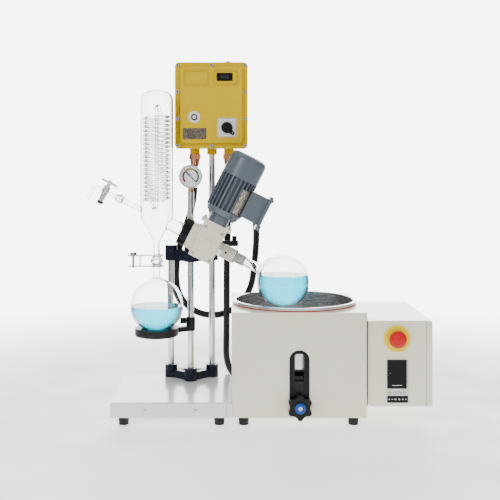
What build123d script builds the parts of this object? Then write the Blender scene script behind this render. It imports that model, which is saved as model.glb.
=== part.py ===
from build123d import *
from math import atan2, cos, degrees, pi, radians, sin, sqrt, tan
import os

os.makedirs("parts", exist_ok=True)

# Rotary evaporator on a three-rod stand, with a lifting bath beside it.
# Millimetres. Z is up, the bench is at Z 0, and the fronts face -Y.
# The origin is on the bench under the middle of the whole apparatus.

# Clearances
slip = 0.05          # turning and sliding fits, on the radius
glass_gap = 0.3      # between glass and what holds it
unit_gap = 0.5       # between the bath and the stand beside it

# Places on the bench
front_y = -146.5
bath_x = 104.5
rods_x = -155
middle_rod_y = 67.5
outer_rod_y = 112.5
rod_spread = 53      # from the middle rod to each outer rod, across

# Feet
foot_height = 22
foot_radius = 13
foot_taper = 5
foot_inset = 28

# Base plate of the stand
base_width = 278
base_depth = 280
base_height = 34
sheet = 2.5
sheet_bend = 4
flange_width = 46

# Rods and their brackets
rod_radius = 8
socket_radius = 16
lower_socket_height = 32
upper_socket_z = 358
upper_socket_height = 39
web_thickness = 14
web_drop = 12
middle_rod_top = 535

# Control box
box_width = 183
box_height = 217
box_depth = 82
box_front_y = 27.5
box_bottom_z = 645
cover_thickness = 16
cover_raise = 12
cover_inset = 11.5
cover_corner = 10
bolt_inset = 7
bolt_radius = 4.2
boss_height = 13
lug_width = 14
lug_depth = 16
lug_height = 7
lug_side = 42
boss_radius = 13
boss_spread = 44
gland_y = 101.5
gland_radius = 15
gland_length = 28
frame_raise = 1.6
frame_width = 2.4
clock_width = 62
clock_height = 37
display_width = 59
display_height = 37
button_radius = 8.5
button_height = 5
button_travel = 3
button_stem = 8
seat_spare = 3
switch_radius = 14
switch_height = 15

# Vacuum gauge
gauge_z = 574.5
gauge_radius = 30.6
gauge_thickness = 28
bezel_width = 4
dial_depth = 8
needle_length = 20

# Head: its axis falls to the right
tilt = 26.7
cap_x = -165.4
cap_z = 438
head_y = 8.5
cap_radius = 34.4
cap_length = 20.6
neck_boss_radius = 36
neck_boss_length = 20
block_length = 61
block_top = 47.5
block_bottom = 40
block_front = 56
block_back = 40
plate_thickness = 8
plate_overhang = 9

# Hollow spindle, its bearings and the worm drive
duct_radius = 9
duct_wall = 1.8
spindle_bore = 9.3
spindle_radius = 13.5
bearing_radius = 22
bearing_width = 9
tooth_module = 2
wheel_teeth = 24
worm_turns = 4
worm_pitch_radius = 9
wheel_width = 14
shaft_radius = 6

# Collars on the flask side
nut_radius = 16
nut_length = 8
collar_radius = 17.5
collar_step = 18
collar_length = 38
sleeve_radius = 12.9
sleeve_length = 24

# Glass vessels
vessel_radius = 66
vessel_wall = 2.5
neck_radius = 11.5
neck_wall = 2
flask_reach = 270.6
flask_liquid_z = 332.5
receiver_x = -236.5
receiver_z = 256.5
receiver_liquid_z = 255
receiver_neck_radius = 9
joint_z = 353
joint_height = 25
joint_radius = 15.5

# Condenser
jacket_radius = 41
jacket_wall = 3
jacket_top_z = 788
jacket_shoulder = 26
jacket_bottom_z = 472
jacket_cone = 58
jacket_waist = 30
coil_radius = 33.5
coil_wall = 13
coil_bottom_z = 507
coil_top_z = 732
coil_pitch = 15
nozzle_spread = 14
nozzle_z = 516
nozzle_radius = 4
nozzle_bore = 2.5
nozzle_length = 24
nozzle_grip = 20
nozzle_foot = 6.5
stub_radius = 3.6
arm_radius = 17
feed_radius = 7.5
feed_flange_u = -179
stopcock_u = -222

# Drive motor
motor_radius = 46
motor_core = 38
motor_foot = 79
shield_length = 14
stator_length = 95
cowl_length = 50
cowl_round = 12
fin_count = 26
fin_thickness = 3.2
spigot_radius = 24
ear_radius = 8.5
ear_sink = 4
ear_count = 4
terminal_length = 68
terminal_reach = 40
terminal_depth = 64
lid_length = 88
lid_depth = 80
lid_thickness = 8

# Receiver support
dish_radius = 54
dish_height = 20
dish_hole = 30
dish_top_z = 201
support_arm = 14
clamp_height = 34

# Bath and its lifting pan
bath_width = 310.5
bath_depth = 320
bath_height = 241
bath_sheet = 2
bath_corner = 5
pan_radius = 146
pan_depth = 150
pan_wall = 2
pan_bend = 22
rim_radius = 152.5
rim_height = 6
gasket = 2.5
pan_gap = 1.5
slot_width = 21
slot_bottom_z = 33
slot_top_z = 167
slider_top_z = 105.6
stud_z = 50.2
stud_radius = 6
knob_radius = 29.3
knob_length = 26
knob_lobes = 6

# Bath controller
controller_gap = 4
controller_width = 135
controller_depth = 290
controller_height = 197.5
controller_front_y = -132.5
controller_bottom_z = 44.5
controller_corner = 9
end_cover = 14
disc_radius = 30.5
disc_thickness = 3
stop_x = 330.6
stop_z = 201
mushroom_radius = 20
mushroom_height = 14
stop_stem = 8
stop_travel = 5

# Cables
cable = 17
coil_mid_radius = 93.5

# Sizes that follow from those above
plate_z = foot_height + base_height
bath_left = bath_x - bath_width / 2
bath_right = bath_x + bath_width / 2
bath_top = foot_height + bath_height
bath_back_y = front_y + bath_depth
base_right = bath_left - unit_gap
base_x = base_right - base_width / 2
left_rod_x = rods_x - rod_spread
right_rod_x = rods_x + rod_spread
pan_y = front_y + bath_depth / 2
c = cos(radians(tilt))
s = sin(radians(tilt))

# Frames of the tilted head: u runs along the axis and v square to it, upwards
head = Plane(origin=(cap_x, head_y, cap_z), x_dir=(c, 0, -s), z_dir=(0, -1, 0))
head_axis = Axis(head.origin, head.x_dir)
block_u = cap_length / 2 + neck_boss_length
block_end = block_u + block_length
worm_u = block_u + block_length / 2
wheel_radius = tooth_module * wheel_teeth / 2
centre_distance = wheel_radius + worm_pitch_radius
motor_y = head_y - centre_distance


def along_head(u, v=0, y=head_y):
    """Plane square to the head's axis, at u along it."""
    at = head.from_local_coords(Vector(u, v, head_y - y))
    return Plane(origin=at, x_dir=(0, 1, 0), z_dir=head.x_dir)


def up_motor(v, u=worm_u, y=motor_y):
    """Plane square to the motor's axis, at v along it."""
    at = head.from_local_coords(Vector(u, v, head_y - y))
    return Plane(origin=at, x_dir=head.x_dir, z_dir=head.y_dir)


motor_axis = Axis(up_motor(0).origin, head.y_dir)


def turned(points, plane, axis, mode=Mode.ADD):
    """Turns a closed outline round an axis, into the part being made."""
    with BuildSketch(plane) as profile:
        with BuildLine():
            Polyline(*points, close=True)
        make_face()
    revolve(profile.sketch, axis=axis, mode=mode)


def rod_between(start, end, radius, mode=Mode.ADD):
    """A round bar between two points, into the part being made."""
    way = Vector(*end) - Vector(*start)
    with BuildSketch(Plane(origin=start, z_dir=way)) as section:
        Circle(radius)
    extrude(section.sketch, amount=way.length, mode=mode)


def save(part, label):
    part.part.label = label
    export_step(part.part, f"parts/{label}.step")


# Base plate: a folded sheet tray, open below
with BuildPart() as base_plate:
    with BuildSketch(Plane.XY.offset(foot_height)):
        with Locations((base_x, front_y + base_depth / 2)):
            Rectangle(base_width, base_depth)
    extrude(amount=base_height)
    fillet(base_plate.edges().group_by(Axis.Z)[-1], sheet_bend)
    offset(amount=-sheet, openings=base_plate.faces().sort_by(Axis.Z)[0])
    with BuildSketch(Plane.XY.offset(foot_height)) as return_flange:
        with Locations((base_x, front_y + base_depth / 2)):
            Rectangle(base_width - sheet, base_depth - sheet)
            Rectangle(base_width - 2 * flange_width, base_depth - 2 * flange_width, mode=Mode.SUBTRACT)
    extrude(return_flange.sketch, amount=sheet)
save(base_plate, "base_plate")

# Feet of the stand and of the bath
foot_places = []
for unit_x, unit_width, unit_depth in (
    (base_x, base_width, base_depth),
    (bath_x, bath_width, bath_depth),
):
    for side in (-1, 1):
        foot_places.append((unit_x + side * (unit_width / 2 - foot_inset), front_y + foot_inset))
        foot_places.append((unit_x + side * (unit_width / 2 - foot_inset), front_y + unit_depth - foot_inset))
with BuildPart() as rubber_feet:
    with BuildSketch(Plane.XY.offset(foot_height)):
        with Locations(*foot_places):
            Circle(foot_radius)
    extrude(amount=-foot_height, taper=foot_taper)
save(rubber_feet, "rubber_feet")

# Brackets: three sockets joined by webs
rod_places = [(left_rod_x, outer_rod_y), (rods_x, middle_rod_y), (right_rod_x, outer_rod_y)]
web_length = sqrt(rod_spread**2 + (outer_rod_y - middle_rod_y) ** 2)
web_angle = degrees(atan2(outer_rod_y - middle_rod_y, rod_spread))
web_middle_y = (middle_rod_y + outer_rod_y) / 2


def bracket(bottom, height):
    """Three sockets with two webs and a tie between the outer ones."""
    with BuildSketch(Plane.XY.offset(bottom)) as webs:
        with Locations(Location((rods_x - rod_spread / 2, web_middle_y), -web_angle)):
            Rectangle(web_length, web_thickness)
        with Locations(Location((rods_x + rod_spread / 2, web_middle_y), web_angle)):
            Rectangle(web_length, web_thickness)
        with Locations((rods_x, outer_rod_y)):
            Rectangle(2 * rod_spread, web_thickness)
    extrude(webs.sketch, amount=height - web_drop)
    with BuildSketch(Plane.XY.offset(bottom)) as sockets:
        with Locations(*rod_places):
            Circle(socket_radius)
    extrude(sockets.sketch, amount=height)
    with BuildSketch(Plane.XY.offset(bottom)) as bores:
        with Locations(*rod_places):
            Circle(rod_radius + slip)
    extrude(bores.sketch, amount=height, mode=Mode.SUBTRACT)


with BuildPart() as lower_bracket:
    bracket(plate_z, lower_socket_height)
save(lower_bracket, "lower_bracket")

with BuildPart() as upper_bracket:
    bracket(upper_socket_z, upper_socket_height)
save(upper_bracket, "upper_bracket")

# Chromed rods
with BuildPart() as rod_left:
    with BuildSketch(Plane.XY.offset(plate_z)):
        with Locations((left_rod_x, outer_rod_y)):
            Circle(rod_radius)
    extrude(amount=upper_socket_z + upper_socket_height - plate_z)
save(rod_left, "rod_left")

with BuildPart() as rod_middle:
    with BuildSketch(Plane.XY.offset(plate_z)):
        with Locations((rods_x, middle_rod_y)):
            Circle(rod_radius)
    extrude(amount=middle_rod_top - plate_z)
save(rod_middle, "rod_middle")

with BuildPart() as rod_right:
    with BuildSketch(Plane.XY.offset(plate_z)):
        with Locations((right_rod_x, outer_rod_y)):
            Circle(rod_radius)
    extrude(amount=box_bottom_z - plate_z)
save(rod_right, "rod_right")

# Arm that carries the head on the right rod, with the ear of its tilt lock
arm_half = 15
arm_rise = 30
ear_reach = 68
ear_inset = 10
ear_setback = 25
ear_width = 16
ear_thickness = 14
lock_radius = 3
lock_rise = 4
lock_knob_radius = 6
lock_knob_height = 12
arm_front_y = head_y + block_back
arm_top_z = upper_socket_z + upper_socket_height + arm_rise
ear_end_x = right_rod_x + ear_reach
ear_z = upper_socket_z + upper_socket_height
lock_x = ear_end_x - ear_inset
lock_y = arm_front_y + ear_setback
with BuildPart() as head_arm:
    with BuildSketch(Plane.XY.offset(ear_z)):
        with Locations((right_rod_x, (arm_front_y + outer_rod_y) / 2)):
            Rectangle(2 * arm_half, outer_rod_y - arm_front_y)
        with Locations((right_rod_x, outer_rod_y)):
            Circle(arm_half)
    extrude(amount=arm_top_z - ear_z)
    with BuildSketch(Plane.XY.offset(ear_z)):
        with Locations(((right_rod_x + ear_end_x) / 2, lock_y)):
            Rectangle(ear_end_x - right_rod_x, ear_width)
    extrude(amount=ear_thickness)
    with Locations((right_rod_x, outer_rod_y, arm_top_z)):
        Hole(rod_radius + slip, arm_top_z - ear_z)
    with Locations((lock_x, lock_y, ear_z + ear_thickness)):
        Hole(lock_radius + slip, ear_thickness)
save(head_arm, "head_arm")

with BuildPart() as tilt_lock_knob:
    with BuildSketch(Plane.XY.offset(ear_z)):
        with Locations((lock_x, lock_y)):
            Circle(lock_radius)
    extrude(amount=ear_thickness + lock_rise)
    with BuildSketch(Plane.XY.offset(ear_z + ear_thickness + glass_gap)):
        with Locations((lock_x, lock_y)):
            Circle(lock_knob_radius)
    extrude(amount=lock_knob_height)
    fillet(tilt_lock_knob.edges().group_by(Axis.Z)[-1], 1)
save(tilt_lock_knob, "tilt_lock_knob")

# Gearbox housing, bored for the spindle, its bearings and the worm drive
bearing_left_u = block_u + 2
bearing_right_u = block_end - 2 - bearing_width
cavity_half = wheel_width / 2 + 1
with BuildPart() as gearbox_housing:
    with BuildSketch(up_motor(-block_bottom, y=head_y)):
        with Locations((0, (block_back - block_front) / 2)):
            RectangleRounded(block_length, block_front + block_back, 5)
    extrude(amount=block_bottom + block_top)
    turned(
        [
            (cap_length / 2, 0),
            (cap_length / 2, cap_radius - 2),
            (block_u + 1, neck_boss_radius),
            (block_u + 1, 0),
        ],
        head,
        head_axis,
    )
    turned(
        [
            (-cap_length / 2 + 6, 0),
            (-cap_length / 2 + 6, cap_radius - 7),
            (cap_length / 2 + 1, cap_radius - 7),
            (cap_length / 2 + 1, 0),
        ],
        head,
        head_axis,
    )
    with BuildSketch(along_head(-cap_length / 2)) as through:
        Circle(spindle_radius + 0.6)
    extrude(through.sketch, amount=block_end + cap_length, mode=Mode.SUBTRACT)
    with BuildSketch(along_head(-cap_length / 2)) as seat:
        Circle(arm_radius + 8)
    extrude(seat.sketch, amount=cap_length - 4, mode=Mode.SUBTRACT)
    with BuildSketch(along_head(bearing_left_u)) as left_seat:
        Circle(bearing_radius + slip)
    extrude(left_seat.sketch, amount=bearing_width, mode=Mode.SUBTRACT)
    with BuildSketch(along_head(bearing_right_u)) as right_seat:
        Circle(bearing_radius + slip)
    extrude(right_seat.sketch, amount=bearing_width, mode=Mode.SUBTRACT)
    with BuildSketch(along_head(worm_u - cavity_half)) as wheel_cavity:
        Circle(wheel_radius + tooth_module + 2)
    extrude(wheel_cavity.sketch, amount=2 * cavity_half, mode=Mode.SUBTRACT)
    with BuildSketch(up_motor(-block_bottom + 6)) as worm_cavity:
        Circle(worm_pitch_radius + tooth_module + 2)
    extrude(worm_cavity.sketch, amount=block_bottom + block_top, mode=Mode.SUBTRACT)
save(gearbox_housing, "gearbox_housing")

# Adapter plate between the gearbox and the motor
with BuildPart() as gearbox_top_plate:
    with BuildSketch(up_motor(block_top, y=head_y)):
        with Locations((0, (block_back - block_front) / 2)):
            RectangleRounded(block_length + 2 * plate_overhang, block_front + block_back, 6)
    extrude(amount=plate_thickness)
    with BuildSketch(up_motor(block_top)) as opening:
        Circle(worm_pitch_radius + tooth_module + 2)
    extrude(opening.sketch, amount=plate_thickness, mode=Mode.SUBTRACT)
save(gearbox_top_plate, "gearbox_top_plate")

# Cap nut that clamps the condenser's flange to the head
flange_left = -cap_length / 2 + 3
flange_right = cap_length / 2 - 4
with BuildPart() as cap_nut:
    turned(
        [
            (-cap_length / 2, arm_radius + glass_gap),
            (-cap_length / 2, cap_radius - 1),
            (-cap_length / 2 + 1, cap_radius),
            (cap_length / 2 - 1, cap_radius),
            (cap_length / 2, cap_radius - 1),
            (cap_length / 2, cap_radius - 7 + slip),
            (-cap_length / 2 + 6, cap_radius - 7 + slip),
            (-cap_length / 2 + 6, arm_radius + 8),
            (-cap_length / 2 + 3, arm_radius + 8),
            (-cap_length / 2 + 3, arm_radius + glass_gap),
        ],
        head,
        head_axis,
    )
save(cap_nut, "cap_nut")

# Hollow spindle turned by the worm wheel
spindle_start = bearing_left_u - 4
spindle_end = block_end
with BuildPart() as spindle:
    turned(
        [
            (spindle_start, spindle_bore),
            (spindle_start, spindle_radius),
            (spindle_end, spindle_radius),
            (spindle_end, spindle_bore),
        ],
        head,
        head_axis,
    )
save(spindle, "spindle")

with BuildPart() as bearings:
    for bearing_u in (bearing_left_u, bearing_right_u):
        turned(
            [
                (bearing_u, spindle_radius + slip),
                (bearing_u, bearing_radius),
                (bearing_u + bearing_width, bearing_radius),
                (bearing_u + bearing_width, spindle_radius + slip),
            ],
            head,
            head_axis,
        )
save(bearings, "bearings")

# Worm wheel: a tooth faces the worm at rest
tooth_pitch = pi * tooth_module
tip_radius = wheel_radius + tooth_module
root_radius = wheel_radius - 1.25 * tooth_module
tooth_height = tip_radius - root_radius + 1
tooth_root = 3.6
tooth_slope = 78
with BuildPart() as worm_wheel:
    with BuildSketch(along_head(worm_u - wheel_width / 2)):
        Circle(root_radius)
        with PolarLocations(tip_radius - tooth_height / 2, wheel_teeth):
            Trapezoid(tooth_root, tooth_height, tooth_slope, rotation=-90)
        Circle(spindle_radius + slip, mode=Mode.SUBTRACT)
    extrude(amount=wheel_width)
save(worm_wheel, "worm_wheel")

# Motor shaft with a right-hand worm at its foot; a gap of the thread faces the wheel's tooth
worm_outer = worm_pitch_radius + tooth_module
worm_root = worm_pitch_radius - 1.25 * tooth_module
thread_root = 3.4
thread_tip = 1.5
thread_sink = 0.6
shaft_end = 24
shaft_top = motor_foot + shield_length + stator_length + shaft_end
worm_rise = worm_turns * tooth_pitch
thread_start = tooth_pitch / 4 - worm_rise / 2
worm_foot = -(worm_rise + thread_root) / 2
worm_head = (worm_rise + thread_root) / 2 + tooth_pitch / 4
with BuildPart() as motor_shaft:
    with BuildSketch(up_motor(worm_foot)) as worm_core:
        Circle(worm_root)
    extrude(worm_core.sketch, amount=worm_head - worm_foot)
    with BuildLine() as thread_path:
        Helix(tooth_pitch, worm_rise, worm_root, center=(0, 0, thread_start))
    way = up_motor(0).from_local_coords(thread_path.wires()[0])
    with BuildSketch(Plane(origin=way @ 0, x_dir=head.x_dir, z_dir=way % 0)) as thread_section:
        with BuildLine():
            Polyline(
                (-thread_sink, -thread_root / 2),
                (worm_outer - worm_root, -thread_tip / 2),
                (worm_outer - worm_root, thread_tip / 2),
                (-thread_sink, thread_root / 2),
                close=True,
            )
        make_face()
    sweep(thread_section.sketch, path=way, is_frenet=True)
    with BuildSketch(up_motor(0)) as shaft_section:
        Circle(shaft_radius)
    extrude(shaft_section.sketch, amount=shaft_top)
save(motor_shaft, "motor_shaft")

# Vapour duct: a glass tube that turns with the flask
duct_start = flange_right + 3
duct_end = block_end + nut_length + collar_length + sleeve_length + 22
with BuildPart() as vapour_duct:
    turned(
        [
            (duct_start, duct_radius - duct_wall),
            (duct_start, duct_radius),
            (duct_end, duct_radius),
            (duct_end, duct_radius - duct_wall),
        ],
        head,
        head_axis,
    )
save(vapour_duct, "vapour_duct")

# Collars that hold the flask on the spindle
nut_end = block_end + 2 + nut_length
collar_end = nut_end + collar_length
sleeve_end = collar_end + sleeve_length
neck_start = nut_end + 6
with BuildPart() as collar_nut:
    with BuildSketch(along_head(block_end + 2)):
        RegularPolygon(nut_radius, 8, major_radius=False)
        Circle(duct_radius + glass_gap, mode=Mode.SUBTRACT)
    extrude(amount=nut_length)
    with BuildSketch(along_head(block_end)):
        Circle(spindle_radius)
        Circle(duct_radius + glass_gap, mode=Mode.SUBTRACT)
    extrude(amount=2)
save(collar_nut, "collar_nut")

with BuildPart() as flask_collar:
    turned(
        [
            (nut_end, duct_radius + glass_gap),
            (nut_end, collar_radius - 0.8),
            (nut_end + 0.8, collar_radius),
            (nut_end + collar_step, collar_radius),
            (nut_end + collar_step + 0.8, collar_radius - 0.8),
            (nut_end + collar_step + 1.6, collar_radius),
            (collar_end - 0.8, collar_radius),
            (collar_end, collar_radius - 0.8),
            (collar_end, neck_radius + glass_gap),
            (neck_start - glass_gap, neck_radius + glass_gap),
            (neck_start - glass_gap, duct_radius + glass_gap),
        ],
        head,
        head_axis,
    )
save(flask_collar, "flask_collar")

with BuildPart() as neck_sleeve:
    turned(
        [
            (collar_end, neck_radius + glass_gap),
            (collar_end, sleeve_radius),
            (sleeve_end - 1, sleeve_radius),
            (sleeve_end, sleeve_radius - 1),
            (sleeve_end, neck_radius + glass_gap),
        ],
        head,
        head_axis,
    )
save(neck_sleeve, "neck_sleeve")

# Evaporating flask: a sphere with a flared neck
flask_bulb = head.from_local_coords(Vector(flask_reach, 0, 0))
inner_radius = vessel_radius - vessel_wall
flare = 10


def bulb_profile(radius, neck, neck_length, blend):
    """Half outline of a round flask: neck, flare and ball, about its centre."""
    across = neck + blend
    down = sqrt((radius + blend) ** 2 - across**2)
    touch = radius / (radius + blend)
    with BuildLine() as outline:
        stem = Line((-neck_length, neck), (-down, neck))
        bend = TangentArc((-down, neck), (-down * touch, across * touch), tangent=(1, 0))
        ball = ThreePointArc(bend @ 1, (0, radius), (radius, 0))
        Line(ball @ 1, (-neck_length, 0))
        Line((-neck_length, 0), stem @ 0)
    return make_face(outline.edges(), mode=Mode.PRIVATE)


with BuildPart() as evaporating_flask:
    with BuildSketch(Plane(origin=flask_bulb, x_dir=head.x_dir, z_dir=head.z_dir)) as flask_outside:
        add(bulb_profile(vessel_radius, neck_radius, flask_reach - neck_start, flare))
    revolve(flask_outside.sketch, axis=head_axis)
    with BuildSketch(Plane(origin=flask_bulb, x_dir=head.x_dir, z_dir=head.z_dir)) as flask_inside:
        add(
            bulb_profile(
                inner_radius, neck_radius - neck_wall, flask_reach - neck_start, flare + vessel_wall
            )
        )
    revolve(flask_inside.sketch, axis=head_axis, mode=Mode.SUBTRACT)
save(evaporating_flask, "evaporating_flask")


def pool(centre, radius, level):
    """Liquid that fills a ball up to a level, turned about the upright axis."""
    rise = level - centre.Z
    edge = sqrt(radius**2 - rise**2)
    with BuildSketch(Plane(origin=centre, x_dir=(1, 0, 0), z_dir=(0, -1, 0))) as half:
        with BuildLine():
            side = ThreePointArc((0, -radius), (radius * cos(radians(-30)), -radius / 2), (edge, rise))
            Line(side @ 1, (0, rise))
            Line((0, rise), side @ 0)
        make_face()
    revolve(half.sketch, axis=Axis(centre, (0, 0, 1)))


with BuildPart() as flask_liquid:
    pool(flask_bulb, inner_radius - glass_gap, flask_liquid_z)
save(flask_liquid, "flask_liquid")

# Receiving flask under the condenser
receiver_centre = Vector(receiver_x, head_y, receiver_z)
receiver_axis = Axis(receiver_centre, (0, 0, 1))
receiver_up = Plane(origin=receiver_centre, x_dir=(0, 0, -1), z_dir=(0, -1, 0))
receiver_neck = joint_z - receiver_z + 2
ball_z = joint_z + joint_height / 2
ball_centre_z = ball_z + 3
ball_radius = joint_radius - 1.5
with BuildPart() as receiving_flask:
    with BuildSketch(receiver_up) as receiver_outside:
        add(bulb_profile(vessel_radius, receiver_neck_radius, receiver_neck, flare))
    revolve(receiver_outside.sketch, axis=receiver_axis)
    with BuildSketch(Plane.XY.offset(joint_z)) as cup_foot:
        with Locations((receiver_x, head_y)):
            Circle(receiver_neck_radius)
    with BuildSketch(Plane.XY.offset(ball_z - 1)) as cup_lip:
        with Locations((receiver_x, head_y)):
            Circle(joint_radius)
    loft([cup_foot.sketch, cup_lip.sketch])
    with BuildSketch(receiver_up) as receiver_inside:
        add(
            bulb_profile(
                inner_radius, receiver_neck_radius - neck_wall, receiver_neck, flare + vessel_wall
            )
        )
    revolve(receiver_inside.sketch, axis=receiver_axis, mode=Mode.SUBTRACT)
    with Locations((receiver_x, head_y, ball_centre_z)):
        Sphere(ball_radius, mode=Mode.SUBTRACT)
save(receiving_flask, "receiving_flask")

with BuildPart() as receiving_liquid:
    pool(receiver_centre, inner_radius - glass_gap, receiver_liquid_z)
save(receiving_liquid, "receiving_liquid")

# Condenser: a glass jacket with arms on the head's axis and a necked foot
condenser_foot = Plane(origin=(receiver_x, head_y, 0), x_dir=(1, 0, 0), z_dir=(0, -1, 0))
condenser_axis = Axis((receiver_x, head_y, 0), (0, 0, 1))
jacket_u = (receiver_x - cap_x) / c


def jacket_outline(shrink, bottom):
    """Half outline of the jacket, moved inwards by shrink."""
    side = jacket_radius - shrink
    neck = receiver_neck_radius - 1 - (shrink and neck_wall)
    top = jacket_top_z - shrink
    with BuildLine() as outline:
        tip = Line((0, bottom), (neck, bottom))
        wall = FilletPolyline(
            tip @ 1,
            (neck, jacket_bottom_z - jacket_cone),
            (side, jacket_bottom_z - shrink / 2),
            (side, top),
            (0, top),
            radius=[jacket_waist + shrink, jacket_waist - shrink, jacket_shoulder - shrink],
        )
        Line(wall @ 1, tip @ 0)
    return make_face(outline.edges(), mode=Mode.PRIVATE)


arm_bore = arm_radius - jacket_wall
arm_start = jacket_u
jacket_inner = jacket_radius - jacket_wall
nozzle_inner_y = head_y + sqrt(jacket_inner**2 - nozzle_spread**2)
nozzle_end_y = nozzle_inner_y + jacket_wall + nozzle_length
with BuildPart() as condenser_jacket:
    with BuildSketch(condenser_foot) as jacket_outside:
        add(jacket_outline(0, ball_z))
    revolve(jacket_outside.sketch, axis=condenser_axis)
    with Locations((receiver_x, head_y, ball_centre_z)):
        Sphere(ball_radius - glass_gap)
    turned(
        [
            (arm_start, 0),
            (arm_start, arm_radius),
            (flange_left, arm_radius),
            (flange_left, arm_radius + 7),
            (flange_left + 5, arm_radius + 7),
            (flange_left + 5, 0),
        ],
        head,
        head_axis,
    )
    turned(
        [
            (feed_flange_u, 0),
            (feed_flange_u, feed_radius + 4),
            (feed_flange_u + 3, feed_radius + 4),
            (feed_flange_u + 6, feed_radius),
            (arm_start, feed_radius),
            (arm_start, 0),
        ],
        head,
        head_axis,
    )
    for side in (-1, 1):
        nozzle_x = receiver_x + side * nozzle_spread
        rod_between((nozzle_x, head_y, nozzle_z), (nozzle_x, nozzle_end_y, nozzle_z), nozzle_radius)
        rod_between(
            (nozzle_x, head_y, nozzle_z), (nozzle_x, nozzle_end_y - nozzle_grip, nozzle_z), nozzle_foot
        )
    with BuildSketch(condenser_foot) as jacket_inside:
        add(jacket_outline(jacket_wall, joint_z))
    revolve(jacket_inside.sketch, axis=condenser_axis, mode=Mode.SUBTRACT)
    for side in (-1, 1):
        nozzle_x = receiver_x + side * nozzle_spread
        rod_between(
            (nozzle_x, head_y, nozzle_z),
            (nozzle_x, nozzle_end_y, nozzle_z),
            nozzle_bore,
            mode=Mode.SUBTRACT,
        )
    turned(
        [(arm_start, 0), (arm_start, arm_bore), (flange_left + 5, arm_bore), (flange_left + 5, 0)],
        head,
        head_axis,
        mode=Mode.SUBTRACT,
    )
    turned(
        [
            (feed_flange_u, 0),
            (feed_flange_u, feed_radius - neck_wall),
            (arm_start, feed_radius - neck_wall),
            (arm_start, 0),
        ],
        head,
        head_axis,
        mode=Mode.SUBTRACT,
    )
save(condenser_jacket, "condenser_jacket")

# Cooling coil: the turns stand out as rounds on a hollow stack
with BuildPart() as condenser_coil:
    with BuildSketch(condenser_foot) as coil_stack:
        with BuildLine():
            turns = int((coil_top_z - coil_bottom_z) / coil_pitch)
            corner = (coil_radius - coil_wall, coil_bottom_z)
            start = (coil_radius - 2, coil_bottom_z)
            Line(corner, start)
            for turn in range(turns):
                low = coil_bottom_z + turn * coil_pitch
                ThreePointArc(
                    (coil_radius - 2, low),
                    (coil_radius + 1, low + coil_pitch / 2),
                    (coil_radius - 2, low + coil_pitch),
                )
            high = coil_bottom_z + turns * coil_pitch
            Line((coil_radius - 2, high), (coil_radius - coil_wall, high))
            Line((coil_radius - coil_wall, high), corner)
        make_face()
    revolve(coil_stack.sketch, axis=condenser_axis)
    with BuildSketch(Plane.XY.offset(coil_bottom_z)):
        with Locations((receiver_x, head_y)):
            Circle(coil_radius - coil_wall + 1)
            Circle(6.5, mode=Mode.SUBTRACT)
    extrude(amount=4)
    with BuildSketch(Plane.XY.offset(coil_bottom_z)):
        with Locations((receiver_x, head_y)):
            Circle(6.5)
    extrude(amount=coil_top_z - coil_bottom_z)
    stub_y = head_y + sqrt((jacket_inner - glass_gap) ** 2 - (nozzle_spread + stub_radius) ** 2)
    for side in (-1, 1):
        stub_x = receiver_x + side * nozzle_spread
        stub_start = (stub_x, head_y + coil_radius - coil_wall, nozzle_z)
        rod_between(stub_start, (stub_x, stub_y, nozzle_z), stub_radius)
save(condenser_coil, "condenser_coil")

# Feed arm: glass barrel for the stopcock and a bent hose tail
barrel_top = 12
barrel_bottom = -23
key_top_radius = 7.5
key_bottom_radius = 5
tail_bend_u = stopcock_u - 30
stopcock_axis = Axis(up_motor(0, u=stopcock_u, y=head_y).origin, head.y_dir)
stopcock_side = Plane(origin=stopcock_axis.position, x_dir=head.x_dir, z_dir=(0, -1, 0))
with BuildPart() as feed_arm:
    turned(
        [
            (stopcock_u, 0),
            (stopcock_u, 4.5),
            (feed_flange_u - 16, 4.5),
            (feed_flange_u - 4, feed_radius + 4),
            (feed_flange_u, feed_radius + 4),
            (feed_flange_u, 0),
        ],
        head,
        head_axis,
    )
    with BuildLine(head) as tail:
        FilletPolyline((stopcock_u, 0), (tail_bend_u, 0), (tail_bend_u - 2, -38), radius=9)
    with BuildSketch(Plane(origin=tail.wires()[0] @ 0, z_dir=tail.wires()[0] % 0)) as tail_section:
        Circle(4)
    sweep(tail_section.sketch, path=tail.wires()[0])
    turned(
        [
            (0, barrel_bottom),
            (key_bottom_radius + 2.5, barrel_bottom),
            (key_top_radius + 2.5, barrel_top),
            (0, barrel_top),
        ],
        stopcock_side,
        stopcock_axis,
    )
    turned(
        [
            (0, barrel_bottom),
            (key_bottom_radius + slip, barrel_bottom),
            (key_top_radius + slip, barrel_top),
            (0, barrel_top),
        ],
        stopcock_side,
        stopcock_axis,
        mode=Mode.SUBTRACT,
    )
save(feed_arm, "feed_arm")

with BuildPart() as stopcock_key:
    turned(
        [
            (0, barrel_bottom - 11),
            (6, barrel_bottom - 11),
            (6.5, barrel_bottom - 5),
            (5.5, barrel_bottom - 5),
            (5.5, barrel_bottom - glass_gap),
            (key_bottom_radius, barrel_bottom - glass_gap),
            (key_bottom_radius, barrel_bottom),
            (key_top_radius, barrel_top),
            (key_top_radius, barrel_top + 2),
            (5, barrel_top + 3),
            (5, barrel_top + 16),
            (3, barrel_top + 18),
            (0, barrel_top + 18),
        ],
        stopcock_side,
        stopcock_axis,
    )
    handle = head.from_local_coords(Vector(stopcock_u - 21, barrel_top + 12, 0))
    handle_end = head.from_local_coords(Vector(stopcock_u + 21, barrel_top + 12, 0))
    rod_between(handle, handle_end, 2.9)
save(stopcock_key, "stopcock_key")

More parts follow.
